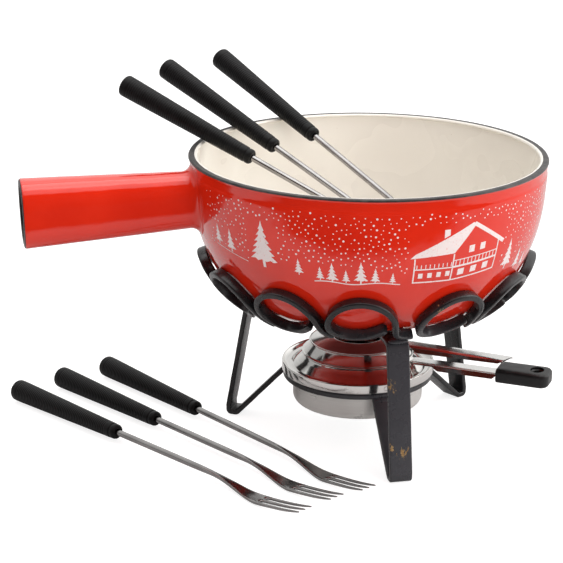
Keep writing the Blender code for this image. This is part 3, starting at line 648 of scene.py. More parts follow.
def build_handle(red, iron):
    """The hollow side handle, with a fillet where it leaves the bowl."""
    ahead = heading(HANDLE_AZ, HANDLE_DROOP)
    side = crosswise(HANDLE_AZ)
    up = ahead.cross(side)
    root = AXIS + heading(HANDLE_AZ) * HANDLE_ROOT_R + UP * HANDLE_ROOT_Z
    length = (HANDLE_END_R - HANDLE_ROOT_R) / math.cos(HANDLE_DROOP)

    def station(along, inset=0.0):
        half_w, half_h = (at_root + (at_end - at_root) * (along / length) - inset
                          for at_root, at_end in zip(HANDLE_ROOT_SIZE, HANDLE_END_SIZE))
        centre = root + ahead * along
        ring = superellipse(centre, side, up, half_w, half_h, 84, (2.65, 2.65))
        return [p + (p - centre).normalized() * 0.00012 * noise.noise(p * 60) for p in ring]

    def from_axis(point):
        return Vector((point.x - AXIS.x, point.y - AXIS.y, 0))

    def to_wall(point):
        return pot_radius(min(point.z, POT_RIM - 0.001)) - from_axis(point).length

    # each line of the handle is followed back to the wall
    start = 0.004
    base = station(start)
    hits = []
    for point in base:
        hit = point.copy()
        for _ in range(14):
            hit = hit + ahead * to_wall(hit)
        hits.append(hit)
    fillet, sunk = 0.0060, 0.0008
    rings = []
    for i in range(9):
        turn = QUARTER * i / 8
        ring = []
        for point, hit in zip(base, hits):
            out = point - root - ahead * start
            out = (out - ahead * out.dot(ahead)).normalized()
            on = hit + ahead * (fillet * (1 - math.cos(turn)) - sunk * (1 - i / 8))
            on = on + out * (fillet * (1 - math.sin(turn)))
            if i == 0:
                on = on + from_axis(on).normalized() * (to_wall(on) - 0.0012)
            ring.append(on)
        rings.append(ring)

    edge, inner_edge = 0.0016, 0.0012
    rings += [station(float(s)) for s in np.linspace(0.014, length - edge, 26)]
    for turn in np.linspace(0, QUARTER, 6)[1:]:
        rings.append(station(length - edge + edge * math.sin(turn), edge * (1 - math.cos(turn))))
    red_rings = len(rings) - 4
    rings.append(station(length, 0.0026))
    for turn in np.linspace(0, QUARTER, 5):
        rings.append(station(length - inner_edge * (1 - math.cos(turn)),
                             HANDLE_WALL - inner_edge + inner_edge * math.sin(turn)))
    for along in np.linspace(length - 0.004, length - HANDLE_BORE, 8):
        rings.append(station(float(along), HANDLE_WALL))
    rings.append(station(length - HANDLE_BORE - 0.003, HANDLE_WALL + 0.004))
    verts, faces = loft(rings, caps=(False, True))
    index = [0 if i // len(base) < red_rings else 1 for i in range(len(faces))]
    piece("pot_handle", (verts, faces), [red, iron], "pot", index=index)


# ---------------------------------------------------------------- printed winter motif
# The motif is drawn flat in millimetres: x along the wall from the front, z up from the floor.
PRINT_R = 0.1150  # radius at which x is measured
# lower edge of a fir's tier: x in half widths, z in tree heights
FIR_EDGE = [(-1, 0.02), (-0.62, 0.035), (-0.45, -0.01), (-0.12, 0.03), (0.20, -0.012),
            (0.52, 0.03), (0.70, -0.005), (1, 0.018)]
# azimuth in degrees, foot, height, width, tiers
FIRS_LEFT = [(-124.0, 148.5, 31.0, 21.0, 6), (-144.5, 154.0, 13.5, 8.0, 4),
             (-138.0, 151.5, 15.5, 9.0, 4), (-111.5, 145.5, 11.0, 6.6, 4)]
FIRS_RIGHT = [(-38.0, 141.5, 21.0, 11.0, 5), (-30.5, 137.5, 15.0, 8.0, 4),
              (-25.5, 136.5, 10.0, 6.0, 4)]
# azimuth, foot, height
SMALL_FIRS = [(-104.5, 143.2, 9.5), (-100.6, 142.6, 13.5), (-96.2, 142.4, 9.0),
              (-91.5, 142.6, 15.0), (-87.0, 142.8, 10.5), (-81.5, 142.2, 7.5)]
# walls and balcony of the house as strokes from its foot: x, z, to x, z, width
HOUSE_LINES = [
    (-34, 0.4, -34, 17.0, 0.9), (-8, -0.2, -8, 18.0, 0.9), (26, 2.6, 26, 22.6, 0.9),
    (-34.4, 0.3, -8, -0.2, 0.9), (-8, -0.2, 26.4, 2.6, 0.9),
    (-34, 9.4, -8, 8.9, 0.8), (-8, 8.9, 26, 11.4, 1.3),
]


def print_x(azimuth):
    return math.radians(azimuth + 90.0) * PRINT_R * 1000


def on_wall(x, z):
    """The place of a motif point, just proud of the enamel."""
    angle, z = -QUARTER + x / 1000 / PRINT_R, z / 1000
    radius = pot_radius(z) + shoulder(z) + sway(angle, z) + 0.00010
    return Vector((AXIS.x + radius * math.cos(angle), AXIS.y + radius * math.sin(angle), z))


def quad(x, width, heights):
    """Four corners between two uprights, with heights counted round from the lower left."""
    return list(zip((x, x + width, x + width, x), heights))


def stroke(x0, z0, x1, z1, width):
    run, rise = x1 - x0, z1 - z0
    length = math.hypot(run, rise)
    x, z = -rise / length * width / 2, run / length * width / 2
    return [(x0 - x, z0 - z), (x1 - x, z1 - z), (x1 + x, z1 + z), (x0 + x, z0 + z)]


def fir(azimuth, foot, height, width, tiers):
    x = print_x(azimuth)
    low, high = foot - 0.10 * height, foot + 0.08 * height
    left, right = x - 0.05 * width, x + 0.05 * width
    shapes = [[(left, low), (right, low), (right, high), (left, high)]]
    for i in range(tiers):
        low = foot + height * (0.04 + 0.80 * i / tiers)
        high = low + height * (0.40 - 0.035 * i)
        half = width / 2 * (1 - i / (tiers + 0.4))
        middle = low + (high - low) * 0.5
        shapes.append([(x + out * half, low + up * height) for out, up in FIR_EDGE]
                      + [(x + 0.34 * half, middle), (x, min(high, foot + height)),
                         (x - 0.36 * half, middle)])
    return shapes


def house(foot_x, foot_z):
    """A plain gabled house with a snowy roof, seen a little from one side."""
    shapes = [
        [(-37, 17.2), (-34, 20.0), (4, 37.6), (6.5, 36.6), (-8, 18.6)],
        stroke(5.0, 36.8, 31.0, 20.5, 2.6),
        [(-16, 29.4), (-12.2, 31.2), (-12.2, 35.0), (-16, 35.0)],
    ]
    shapes += [stroke(*line) for line in HOUSE_LINES]
    shapes += [quad(-31 + 6.2 * k, 3.0, (3.2, 3.1, 6.6, 6.7)) for k in range(4)]
    for k in range(9):
        x = -32.4 + 2.9 * k
        shapes.append(stroke(x, 9.8, x, 12.6, 0.55))
    for k in range(11):
        x, rise = -6 + 2.9 * k, 0.075 * 2.9 * k
        shapes.append(stroke(x, 9.6 + rise, x, 13.2 + rise, 0.6))
    shapes.append(stroke(-8, 13.4, 26, 15.8, 0.6))
    # windows of the gable wall: count, x, pitch, width, rise from one to the next, heights
    for count, x, pitch, width, rise, heights in (
        (3, -3.6, 9.6, 4.6, 0.7, (2.6, 3.0, 7.4, 7.0)),
        (2, 2.4, 8.4, 4.0, 0.6, (17.6, 17.9, 22.6, 22.3)),
    ):
        for k in range(count):
            shapes.append(quad(x + pitch * k, width, [z + rise * k for z in heights]))
    return [[(foot_x + x, foot_z + z) for x, z in shape] for shape in shapes]


def motif_groups():
    """(shapes, margin kept free of snow) of each group, in order."""
    groups = [(fir(*row), 1.2) for row in FIRS_LEFT]
    groups += [(fir(azimuth, foot, tall, tall * 0.62, 4), 0.8) for azimuth, foot, tall in SMALL_FIRS]
    slope = [(print_x(-146.5), 152.0), (print_x(-139.5), 149.6), (print_x(-131.0), 146.6)]
    groups.append(([stroke(*slope[0], *slope[1], 0.5), stroke(*slope[1], *slope[2], 0.45)], 0.3))
    drift = [(print_x(-106.5 + 1.45 * k), 141.2 + 0.7 * math.sin(k * 0.55)) for k in range(20)]
    groups.append(([stroke(*start, *end, 0.7) for start, end in zip(drift, drift[1:])], 0.4))
    groups.append((house(print_x(-58.0), 141.0), 1.2))
    return groups + [(fir(*row), 1.2) for row in FIRS_RIGHT]


def snow(groups):
    """Falling snow as (x, z, radius), clear of the groups and thinning out to both sides."""
    boxes = []
    for shapes, margin in groups:
        low = [min(p[axis] for s in shapes for p in s) - margin for axis in (0, 1)]
        high = [max(p[axis] for s in shapes for p in s) + margin for axis in (0, 1)]
        boxes.append((*low, *high))
    apart, most = 2.7, 690
    fade_right, end_right = print_x(-30), print_x(0)
    fade_left, end_left = print_x(-140), print_x(-153)
    rng = np.random.RandomState(11)
    flakes = []
    for _ in range(6400):
        x, z = rng.uniform(print_x(-150), end_right), rng.uniform(139.5, 187.0)
        if rng.uniform() < max((x - fade_right) / (end_right - fade_right),
                               (fade_left - x) / (fade_left - end_left)):
            continue
        size = rng.choice([0.34, 0.44, 0.56, 0.70], p=[0.30, 0.34, 0.24, 0.12])
        # the snow's lower edge sinks to the right and waves
        sink = min(1.0, max(0.0, (x - print_x(-80)) / 60.0))
        edge = 151.5 - 9.0 * sink - 3.0 * math.sin(x * 0.05)
        if z < edge or (z > 184.0 and rng.uniform() < 0.5):
            continue
        if any(left < x < right and low < z < high for left, low, right, high in boxes):
            continue
        if any((x - other_x) ** 2 + (z - other_z) ** 2 < apart**2 for other_x, other_z, _ in flakes):
            continue
        flakes.append((x, z, size))
        if len(flakes) > most:
            break
    return flakes


def build_motif(white):
    groups = motif_groups()
    flat = bmesh.new()
    for shapes, _ in groups:
        for shape in shapes:
            flat.faces.new([flat.verts.new((x, z, 0)) for x, z in shape])
    bmesh.ops.triangulate(flat, faces=flat.faces[:])
    # cut into a grid so that the shapes can follow the round wall
    grid = 2.4
    spans = [(min(v.co[axis] for v in flat.verts), max(v.co[axis] for v in flat.verts))
             for axis in (0, 1)]
    for normal, (low, high) in zip(((1, 0, 0), (0, 1, 0)), spans):
        cut = low + grid
        while cut < high:
            bmesh.ops.bisect_plane(flat, geom=flat.verts[:] + flat.edges[:] + flat.faces[:],
                                   plane_co=(cut, cut, 0), plane_no=normal)
            cut += grid
    flat.verts.index_update()
    verts = [on_wall(v.co.x, v.co.y) for v in flat.verts]
    faces = []
    for face in flat.faces:
        corners = [v.index for v in face.verts]
        faces.append(corners if face.normal.z > 0 else corners[::-1])
    flat.free()
    for x, z, size in snow(groups):
        faces.append(list(range(len(verts), len(verts) + 9)))
        for k in range(9):
            turn = 2 * math.pi * k / 9
            verts.append(on_wall(x + size * math.cos(turn), z + size * math.sin(turn)))
    piece("pot_winter_print", (verts, faces), [white], "pot", sharp=None, tidy=False)


# ---------------------------------------------------------------- stand
def rounded_line(points, radii, steps=10):
    """A 2D line with its inner points rounded to the given radii."""
    line = [Vector(points[0])]
    for before, here, after, radius in zip(points, points[1:], points[2:], radii):
        corner = Vector(here)
        back, on = (Vector(before) - corner).normalized(), (Vector(after) - corner).normalized()
        half = math.acos(back.dot(on)) / 2
        reach = radius / math.tan(half)
        centre = corner + (back + on).normalized() * (radius / math.sin(half))
        start, end = corner + back * reach - centre, corner + on * reach - centre
        sweep = math.atan2(start.x * end.y - start.y * end.x, start.dot(end))
        for i in range(steps + 1):
            cos, sin = math.cos(sweep * i / steps), math.sin(sweep * i / steps)
            line.append(centre + Vector((start.x * cos - start.y * sin,
                                         start.x * sin + start.y * cos)))
    line.append(Vector(points[-1]))
    return line


def dense(line, gap):
    """Splits long spans, so that a bar can carry small unevenness."""
    points = [line[0]]
    for end in line[1:]:
        start = points[-1]
        count = max(1, int((end - start).length / gap))
        points += [start + (end - start) * (k / count) for k in range(1, count + 1)]
    return points


def build_leg(name, azimuth, paint):
    """A bent flat bar: tab under the pot, slanted leg, foot, and a slope up to the ring."""
    away, along = heading(azimuth), crosswise(azimuth)
    half = LEG_THICK / 2
    weld_r = RING_OUTER - 0.0008 + BURNER_X * math.cos(azimuth)
    tab_z = TAB_TOP - half
    centre = [
        (TAB_IN_R, tab_z), (LEG_BEND_R - 0.0008, tab_z), (FOOT_R - half, 0.0065),
        (FOOT_R - half - 0.0002, half), (FOOT_R - half - 0.0062, half),
        (weld_r, RING_BOTTOM + 0.0002),
    ]
    line = dense(rounded_line(centre, (0.0040, 0.0018, 0.0018, 0.0028)), 0.0022)
    section = round_rect(LEG_WIDTH / 2, half, 0.0010)
    rings = []
    for i, point in enumerate(line):
        before, after = either_side(line, i)
        tangent = (after - before).normalized()
        normal = Vector((-tangent.y, tangent.x))
        outward = away * normal.x + UP * normal.y
        scale = end_scale(line, i, last=0.72, second=0.93)
        narrow = 0.97 if scale < 0.8 else 1.0
        ring = []
        for wide, thick in section:
            flat = point + normal * thick * scale
            spot = AXIS + away * flat.x + UP * flat.y + along * wide * narrow
            spot = spot + outward * 0.00014 * noise.noise(spot * 130)
            ring.append(Vector((spot.x, spot.y, max(spot.z, 0.0))))
        rings.append(ring)
    piece(name + "_bar", loft(rings), [paint], "stand", name, sharp=50.0)

    # beads at the ring and at the upper bend: radius, z, (outward, sideways, upward) half sizes
    beads = [(weld_r + 0.0014, RING_BOTTOM - 0.0004, (0.0022, 0.0062, 0.0016)),
             (LEG_BEND_R - 0.0002, TAB_TOP + 0.0008, (0.0032, 0.0066, 0.0020))]
    for k, (radius, z, size) in enumerate(beads):
        build_weld(f"{name}_weld_{k + 1}", AXIS + away * radius + UP * z, away, along, size, paint)


def build_weld(name, centre, away, along, size, paint):
    """A lumpy ellipsoid with its poles sideways."""
    rows, around = 12, 22
    rings = []
    for i in range(rows + 1):
        tilt = math.pi * i / rows
        ring = []
        for j in range(around):
            turn = 2 * math.pi * j / around
            arm = (away * (math.sin(tilt) * math.cos(turn) * size[0])
                   + along * (math.cos(tilt) * size[1])
                   + UP * (math.sin(tilt) * math.sin(turn) * size[2]))
            spot = centre + arm
            ring.append(spot + arm.normalized() * 0.0005 * noise.noise(spot * 420))
        rings.append(ring)
    piece(name, loft(rings, caps=(False, False)), [paint], "stand", sharp=60.0)


def on_crown(azimuth, across, upward):
    """(point, normal) on the surface a gap outside the bowl's corner that carries the scrolls."""
    radius = POT_CORNER + SCROLL_GAP
    lean = SCROLL_FROM + upward / radius
    reach, z = CORNER[0] + radius * math.cos(lean), CORNER[1] + radius * math.sin(lean)
    out = heading(azimuth + across / reach)
    return AXIS + out * reach + UP * z, out * math.cos(lean) + UP * math.sin(lean)


def build_scroll(name, azimuth, is_last, paint):
    """A curled bar, drawn as (across, upward) on the crown."""
    half_w, height = SCROLL_HALF_W, (POT_CORNER + SCROLL_GAP) * (SCROLL_TO - SCROLL_FROM)
    line = [(0.0150, 0.0150), (0.0085, 0.0085), (0.0010, 0.0030)]
    for k in range(10):
        turn = math.radians(-112 - k * 26)
        line.append((half_w * math.cos(turn), height / 2 + height / 2 * math.sin(turn)))
    line += [(half_w * 0.995, height * 0.36), (half_w * 1.02, height * 0.20)]
    if is_last:
        line += [(0.0243, 0.0035), (0.0285, 0.0012), (0.0330, 0.0008)]
    else:
        line += [(0.0228, 0.0045), (0.0240, 0.0015)]
    line = catmull(line, 8 if FINE else 4)
    section = round_rect(SCROLL_BAR / 2, SCROLL_WIDE / 2, 0.0011, steps=3)
    rings = []
    for i, (across, upward) in enumerate(line):
        before, after = either_side(line, i)
        x, y = (after - before) / np.linalg.norm(after - before)
        scale = end_scale(line, i, last=0.75, second=0.95)
        ring = []
        for thick, wide in section:
            point, normal = on_crown(azimuth, across - y * thick * scale,
                                     upward + x * thick * scale)
            spot = point + normal * wide * scale
            ring.append(spot + normal * 0.00018 * noise.noise(spot * 110))
        rings.append(ring)
    piece(name + "_bar", loft(rings), [paint], "stand", name, sharp=50.0)


def build_ring(paint):
    mid_r, mid_z = (RING_INNER + RING_OUTER) / 2, (RING_BOTTOM + RING_TOP) / 2
    section = round_rect((RING_OUTER - RING_INNER) / 2, (RING_TOP - RING_BOTTOM) / 2, 0.0009)
    shape = lathe([(mid_r + x, mid_z + y) for x, y in section], 160, BURNER,
                  lambda angle, z, _: 0.00010 * ring_noise(angle, z, 5, 90), closed=True)
    piece("burner_ring_bar", shape, [paint], "stand", "burner_ring", sharp=50.0)


def build_stand(paint):
    for i, azimuth in enumerate(LEG_AZ):
        build_leg(f"leg_{i + 1}", azimuth, paint)
    build_ring(paint)
    for i, azimuth in enumerate(LEG_AZ):
        for k in range(SCROLLS_PER_LEG):
            build_scroll(f"scroll_{i * SCROLLS_PER_LEG + k + 1:02d}",
                         azimuth + SCROLL_FIRST + k * SCROLL_PITCH, k == SCROLLS_PER_LEG - 1, paint)


# ---------------------------------------------------------------- burner
def soft_profile(points, radius, steps=3):
    """A profile whose inner corners are rounded a little."""
    line = [points[0]]
    for before, here, after in zip(points, points[1:], points[2:]):
        corner = Vector(here)
        back, on = Vector(before) - corner, Vector(after) - corner
        reach = min(radius, back.length * 0.45, on.length * 0.45)
        start, end = corner + back.normalized() * reach, corner + on.normalized() * reach
        for i in range(steps + 1):
            part = i / steps
            line.append(tuple(start * (1 - part) ** 2 + corner * 2 * part * (1 - part)
                              + end * part**2))
    line.append(points[-1])
    return line


def turned_part(name, profile, rounding, mat, body, node):
    shape = lathe(soft_profile(profile, rounding), 192 if FINE else 96, BURNER)
    piece(name, shape, [mat], body, node)


def build_cup(satin):
    inner = CUP_R - CUP_WALL
    floor = CUP_BOTTOM + CUP_WALL + 0.0004
    profile = [
        (0.0, CUP_BOTTOM + 0.0006), (0.034, CUP_BOTTOM + 0.0006), (0.0355, CUP_BOTTOM),
        (CUP_R - 0.0036, CUP_BOTTOM), (CUP_R - 0.0012, CUP_BOTTOM + 0.0008),
        (CUP_R, CUP_BOTTOM + 0.0034), (CUP_R, CUP_TOP - 0.0003), (CUP_R - 0.0003, CUP_TOP),
        (inner, CUP_TOP), (inner, CUP_BOTTOM + 0.0038), (inner - 0.0024, floor), (0.0, floor),
    ]
    turned_part("burner_cup_shell", profile, 0.0010, satin, "burner", "burner_cup")


def build_dish(polished):
    """The flanged dish and the neck that rises from it."""
    profile = [
        (DISH_R - 0.0009, DISH_BOTTOM), (DISH_R, DISH_BOTTOM + 0.0008),
        (DISH_R, DISH_TOP - 0.0007), (DISH_R - 0.0004, DISH_TOP),
        (DISH_R - 0.0011, DISH_TOP - 0.0002), (DISH_R - 0.0018, DISH_TOP - 0.0014),
        (DISH_R - 0.0034, DISH_BOTTOM + 0.0044), (NECK_BASE_R + 0.0010, DISH_BOTTOM + 0.0040),
        (NECK_BASE_R - 0.0006, DISH_BOTTOM + 0.0047), (NECK_R + 0.0022, NECK_TOP - 0.0030),
        (NECK_R + 0.0004, NECK_TOP - 0.0012), (NECK_R - 0.0001, NECK_TOP - 0.0004),
        (NECK_R - 0.0008, NECK_TOP), (0.0240, NECK_TOP - 0.0006), (0.0240, NECK_TOP - 0.0016),
        (NECK_R - 0.0016, NECK_TOP - 0.0016), (NECK_BASE_R - 0.0030, DISH_BOTTOM + 0.0022),
        (NECK_BASE_R - 0.0030, DISH_BOTTOM), (DISH_R - 0.0009, DISH_BOTTOM),
    ]
    turned_part("burner_dish_shell", profile, 0.0005, polished, "burner", "burner_dish")


def build_cap(polished):
    """The regulator cap: a flange, a cone with a bead at its top, and an open middle."""
    base, bead = NECK_TOP + 0.0004, CAP_BEAD_R
    profile = [
        (CAP_R - 0.0022, base), (CAP_R + 0.0001, base), (CAP_R + 0.0003, base + 0.0005),
        (CAP_R - 0.0002, base + 0.0010), (CAP_R - 0.0012, base + 0.0012),
        (bead - 0.0013, CAP_TOP - 0.0026), (bead - 0.0001, CAP_TOP - 0.0020),
        (bead + 0.0002, CAP_TOP - 0.0016), (bead - 0.0004, CAP_TOP - 0.0012),
        (bead - 0.0012, CAP_TOP - 0.0015), (0.0240, CAP_TOP), (0.0176, CAP_TOP + 0.0012),
        (0.0168, CAP_TOP + 0.0006), (0.0174, CAP_TOP), (0.0240, CAP_TOP - 0.0012),
        (bead - 0.0030, CAP_TOP - 0.0030), (CAP_R - 0.0026, base + 0.0012),
        (CAP_R - 0.0022, base),
    ]
    turned_part("regulator_cap_shell", profile, 0.0006, polished, "regulator", "regulator_cap")


def channel_section(drop, wide):
    """Section of a channel as (across, up from its top), with sides that reach down to drop."""
    bend = 0.0014
    top = (STRIP_WIDTH / 2 - 0.0017) * wide
    points = [(top * 0.5, 0.0), (top, 0.0)]
    for i in range(1, 6):
        turn = math.radians(90 - 76 * i / 5)
        points.append((top + bend * math.cos(turn), -bend + bend * math.sin(turn)))
    reach = max(drop, bend + 0.0001)
    edge = points[-1][0] + (reach - bend) * math.tan(math.radians(12.0))
    points += [
        (edge, -reach), (edge - STRIP_THICK * 0.5, -reach - 0.00012), (edge - STRIP_THICK, -reach),
        (top + bend - STRIP_THICK * 1.2, -0.0013), (top - 0.0004, -STRIP_THICK),
        (top * 0.5, -STRIP_THICK),
    ]
    return points + [(-x, y) for x, y in reversed(points)]


def build_channel(name, azimuth, start, end, top, flange, flange_from, flange_to, mat, body,
                  node, taper=0.0, skew=0.0):
    """A radial strip with its long edges folded down between flange_from and flange_to.

    taper is the share of the flange's depth lost along it, skew the slant of the end.
    """
    away, along = heading(azimuth), crosswise(azimuth)
    flat, shallow = 0.0012, flange * (1.0 - taper)

    def ease(part):
        return part * part * (3 - 2 * part)

    # distance from the axis, depth of the folds, width scale
    stations = [(start, flat, 0.80), (start + 0.0012, flat, 0.97), (start + 0.0030, flat, 1.0),
                (flange_from, flat, 1.0)]
    for k in range(1, 7):
        part = k / 6
        stations.append((flange_from + 0.006 * part, flat + (flange - flat) * ease(part), 1.0))
    for k in range(1, 9):
        stations.append((flange_from + 0.006 + (flange_to - 0.010 - flange_from) * k / 8,
                         flange * (1.0 - taper * k / 8), 1.0))
    for k in range(1, 6):
        part = k / 5
        stations.append((flange_to - 0.004 + 0.004 * part,
                         shallow + (flat - shallow) * ease(part), 1.0))
    stations += [(end - 0.0008, flat, 0.99), (end, flat, 0.93)]
    rings = []
    for radius, drop, wide in stations:
        tip = max(0.0, (radius - (end - 0.006)) / 0.006)
        rings.append([BURNER + away * (radius + skew * tip * x) + along * x + UP * (top + z)
                      for x, z in channel_section(drop, wide)])
    piece(name, loft(rings), [mat], body, node)


def build_rivets(satin):
    """Two domed heads on the lever."""
    z = LEVER_TOP
    dome = [(0.0, z + 0.0015)]
    dome += [(0.0021 * math.sin(turn), z + 0.0002 + 0.0013 * math.cos(turn))
             for turn in np.linspace(0.2, QUARTER, 7)]
    dome += [(0.0021, z + 0.0001), (0.0, z + 0.0001)]
    for i, radius in enumerate((0.0260, 0.0335)):
        shape = lathe(dome, 28, BURNER + heading(LEVER_AZ) * radius,
                      lambda angle, z, _: 0.00004 * ring_noise(angle, z, 3, 3000))
        piece(f"lever_rivet_{i + 1}_head", shape, [satin], "regulator",
              f"lever_rivet_{i + 1}", sharp=50.0)


def build_vent(polished, dark):
    """Vent hole in the dish's wall: a shallow cup with a turned lip, its dark bottom a painted shade
    for the hole's depth.
    """
    azimuth = math.radians(-68.0)
    out, along = heading(azimuth), crosswise(azimuth)
    mid_z = (DISH_BOTTOM + DISH_TOP) / 2
    turns = [2 * math.pi * k / 24 for k in range(24)]
    # radius of the ring, distance out from the dish's wall
    table = [(0.0019, -0.0003), (0.0018, 0.0002), (0.0014, 0.00025), (0.0012, 0.0),
             (0.0011, -0.0006), (0.0004, -0.0006)]
    rings = [[BURNER + out * (DISH_R + depth) + along * radius * math.cos(turn)
              + UP * (mid_z + radius * math.sin(turn)) for turn in turns]
             for radius, depth in table]
    verts, faces = loft(rings, caps=(False, True))
    # painted shade: all but the lip's two rings take the dark material, in place of the shade inside
    # the hole
    index = [0 if i // 24 < 2 else 1 for i in range(len(faces))]
    piece("burner_vent", (verts, faces), [polished, dark], "burner", index=index)


def build_pad():
    """The fibre pad inside the cup, uneven on top."""
    edge, top = PAD_R - 0.0002, PAD_TOP - 0.0002
    profile = [(0.0, CUP_BOTTOM + 0.0020), (PAD_R - 0.003, CUP_BOTTOM + 0.0020),
               (edge, CUP_BOTTOM + 0.0048), (edge, PAD_TOP - 0.001)]
    profile += [(radius, top) for radius in np.linspace(PAD_R - 0.001, 0.002, 18)] + [(0.0, top)]
    verts, faces = lathe(profile, 96, BURNER)
    verts = [Vector(v) for v in verts]
    for vert in verts:
        if vert.z > PAD_TOP - 0.0005:
            vert.z += 0.0004 * (noise.noise(vert * 260) - 0.4)
    piece("burner_pad_wool", (verts, faces), [fibre_pad()], "burner", "burner_pad",
          sharp=60.0)


def build_gauze():
    """Two crossing sets of square wires that weave over and under."""
    pitch, wire, z = 0.0016, 0.00022, PAD_TOP + 0.0007
    count = int(PAD_R / pitch)
    verts, faces = [], []
    for direction in (0, 1):
        for k in range(-count, count + 1):
            side = k * pitch
            reach = math.sqrt(max(PAD_R**2 - side**2, 0.0)) - 0.0003
            steps = max(2, int(2 * reach / pitch))
            rings = []
            for i in range(steps + 1):
                along = -reach + 2 * reach * i / steps
                height = z + wire * 0.9 * (1 if (i + k + direction) % 2 else -1)
                rings.append(range(len(verts), len(verts) + 4))
                for out, rise in ((wire, 0), (0, wire), (-wire, 0), (0, -wire)):
                    x, y = (along, side + out) if direction == 0 else (side + out, along)
                    verts.append((BURNER.x + x, BURNER.y + y, height + rise))
            faces += skin(rings)
    piece("burner_gauze_weave", (verts, faces), [wire_gauze()], "burner",
          "burner_gauze", sharp=60.0, tidy=False)


def build_grip():
    """The plastic grip on the strip's end, with a flared upright hole near its tip."""
    plastic = grip_plastic()
    ahead, across = heading(STRIP_AZ), crosswise(STRIP_AZ)
    mid_z = STRIP_TOP - STRIP_THICK / 2
    half_w, half_t = GRIP_WIDTH / 2, GRIP_THICK / 2
    near_round, far_round = 0.0010, 0.0062
    near_w = 0.97  # share of the width at the inner end

    def ring(along, wide, thick):
        centre = BURNER + ahead * along + UP * mid_z
        return superellipse(centre, across, UP, wide, thick, 56, (7.0, 5.0))

    rings = []
    for i in range(6):
        turn = QUARTER * i / 5
        inset = near_round * (1 - math.sin(turn))
        rings.append(ring(GRIP_FROM + near_round * (1 - math.cos(turn)),
                          half_w * near_w - inset, half_t - inset))
    for share in np.linspace(0.1, 1.0, 10):
        along = GRIP_FROM + near_round
        along += (GRIP_TO - far_round - GRIP_FROM - near_round) * float(share)
        rings.append(ring(along, half_w * (near_w + 0.03 * share), half_t))
    for turn in np.linspace(0, QUARTER, 9)[1:]:
        drop = 1 - math.cos(turn)
        rings.append(ring(GRIP_TO - far_round + far_round * math.sin(turn),
                          half_w - far_round * drop, half_t - 0.0024 * drop**1.6))
    grip = piece("burner_grip_body", loft(rings), [plastic], "burner",
                 "burner_grip", sharp=45.0)

    hole_at, hole_along, hole_across = GRIP_TO - 0.0092, 0.0038, 0.0048
    turns = [2 * math.pi * k / 40 for k in range(40)]
    rings = []
    for z in (-0.010, -0.0035, -0.0026, 0.0026, 0.0035, 0.010):
        flare = 0.0008 if abs(z) > 0.003 else 0.0
        rings.append([BURNER + ahead * (hole_at + (hole_along + flare) * math.cos(turn))
                      + across * ((hole_across + flare) * math.sin(turn)) + UP * (mid_z + z)
                      for turn in turns])
    cutter = piece("grip_hole_cutter", loft(rings), [plastic])
    cut = grip.modifiers.new("hole", "BOOLEAN")
    cut.operation, cut.solver, cut.object = "DIFFERENCE", "EXACT", cutter
    bpy.context.view_layer.update()
    evaluated = grip.evaluated_get(bpy.context.evaluated_depsgraph_get())
    holed = bpy.data.meshes.new_from_object(evaluated)
    grip.modifiers.clear()
    grip.data = holed
    bpy.data.objects.remove(cutter)
    holed.shade_smooth()
    holed.set_sharp_from_angle(angle=math.radians(38))


def build_burner(iron):
    polished = turned_steel("burner_polished", rgb(228, 226, 223), gloss=(0.070, 0.115),
                            groove=0.12, brushed=0.0, metal=1.0)
    satin = turned_steel("burner_satin", rgb(228, 227, 223), gloss=(0.22, 0.34),
                         groove=0.6, brushed=0.45, metal=0.55)
    build_cup(satin)
    build_dish(polished)
    build_cap(polished)
    build_channel(
        "regulator_lever_strip", LEVER_AZ, start=0.0215, end=LEVER_END, top=LEVER_TOP,
        flange=0.0042, flange_from=0.0400, flange_to=LEVER_END - 0.0010,
        mat=strip_steel(LEVER_AZ, "lever_steel"), body="regulator", node="regulator_lever",
        taper=0.42, skew=0.30)
    build_channel(
        "burner_handle_channel", STRIP_AZ, start=NECK_R + 0.0022, end=STRIP_END, top=STRIP_TOP,
        flange=0.0040, flange_from=0.0535, flange_to=0.1005,
        mat=strip_steel(STRIP_AZ, "strip_steel"), body="burner", node="burner_handle_strip")
    build_rivets(satin)
    build_vent(polished, iron)
    build_pad()
    build_gauze()
    build_grip()


# ---------------------------------------------------------------- forks
# In a fork's own axes the butt is at the origin, the tines point along +X and +Z is up.
# steel cage: x, half width, half thickness, z of the middle
SHAFT_CAGE = FORK_SHAFT_R * 1.50
STEEL_STATIONS = [
    *((x, SHAFT_CAGE, SHAFT_CAGE, 0.0) for x in (0.086, 0.088, 0.150, 0.196)),
    (0.206, 0.0017, 0.0015, -0.0001), (0.216, 0.0024, 0.00125, -0.0009),
    (0.226, 0.0034, 0.00110, -0.0025), (0.235, 0.0046, 0.00100, -0.0040),
    (0.242, 0.0058, 0.00105, -0.0046), (0.2475, 0.0065, 0.00115, -0.0046),
    (0.2505, 0.0066, 0.00120, -0.0043), (0.256, 0.0065, 0.00120, -0.0037),
    (0.265, 0.0064, 0.00118, -0.0024), (0.275, 0.0063, 0.00110, -0.0008),
    (0.283, 0.0062, 0.00090, 0.0010), (0.2872, 0.0061, 0.00060, 0.0021),
    (FORK_LENGTH, 0.00605, 0.00035, 0.0023),
]
TINES_FROM = 10  # the station where the head splits into three tines
# places of the six cage lines across the half width
SHAFT_LINES = (-1.0, -0.80, -0.30, 0.30, 0.80, 1.0)
HEAD_LINES = (-1.04, -0.61, -0.235, 0.235, 0.61, 1.04)
TIP_LINES = (-1.01, -0.82, -0.095, 0.095, 0.82, 1.01)


def fork_matrix(butt, azimuth, tilt):
    ahead = heading(math.radians(azimuth), math.radians(tilt))
    side = crosswise(math.radians(azimuth))
    matrix = Matrix((ahead, side, ahead.cross(side))).transposed().to_4x4()
    matrix.translation = AXIS + Vector(butt)
    return matrix


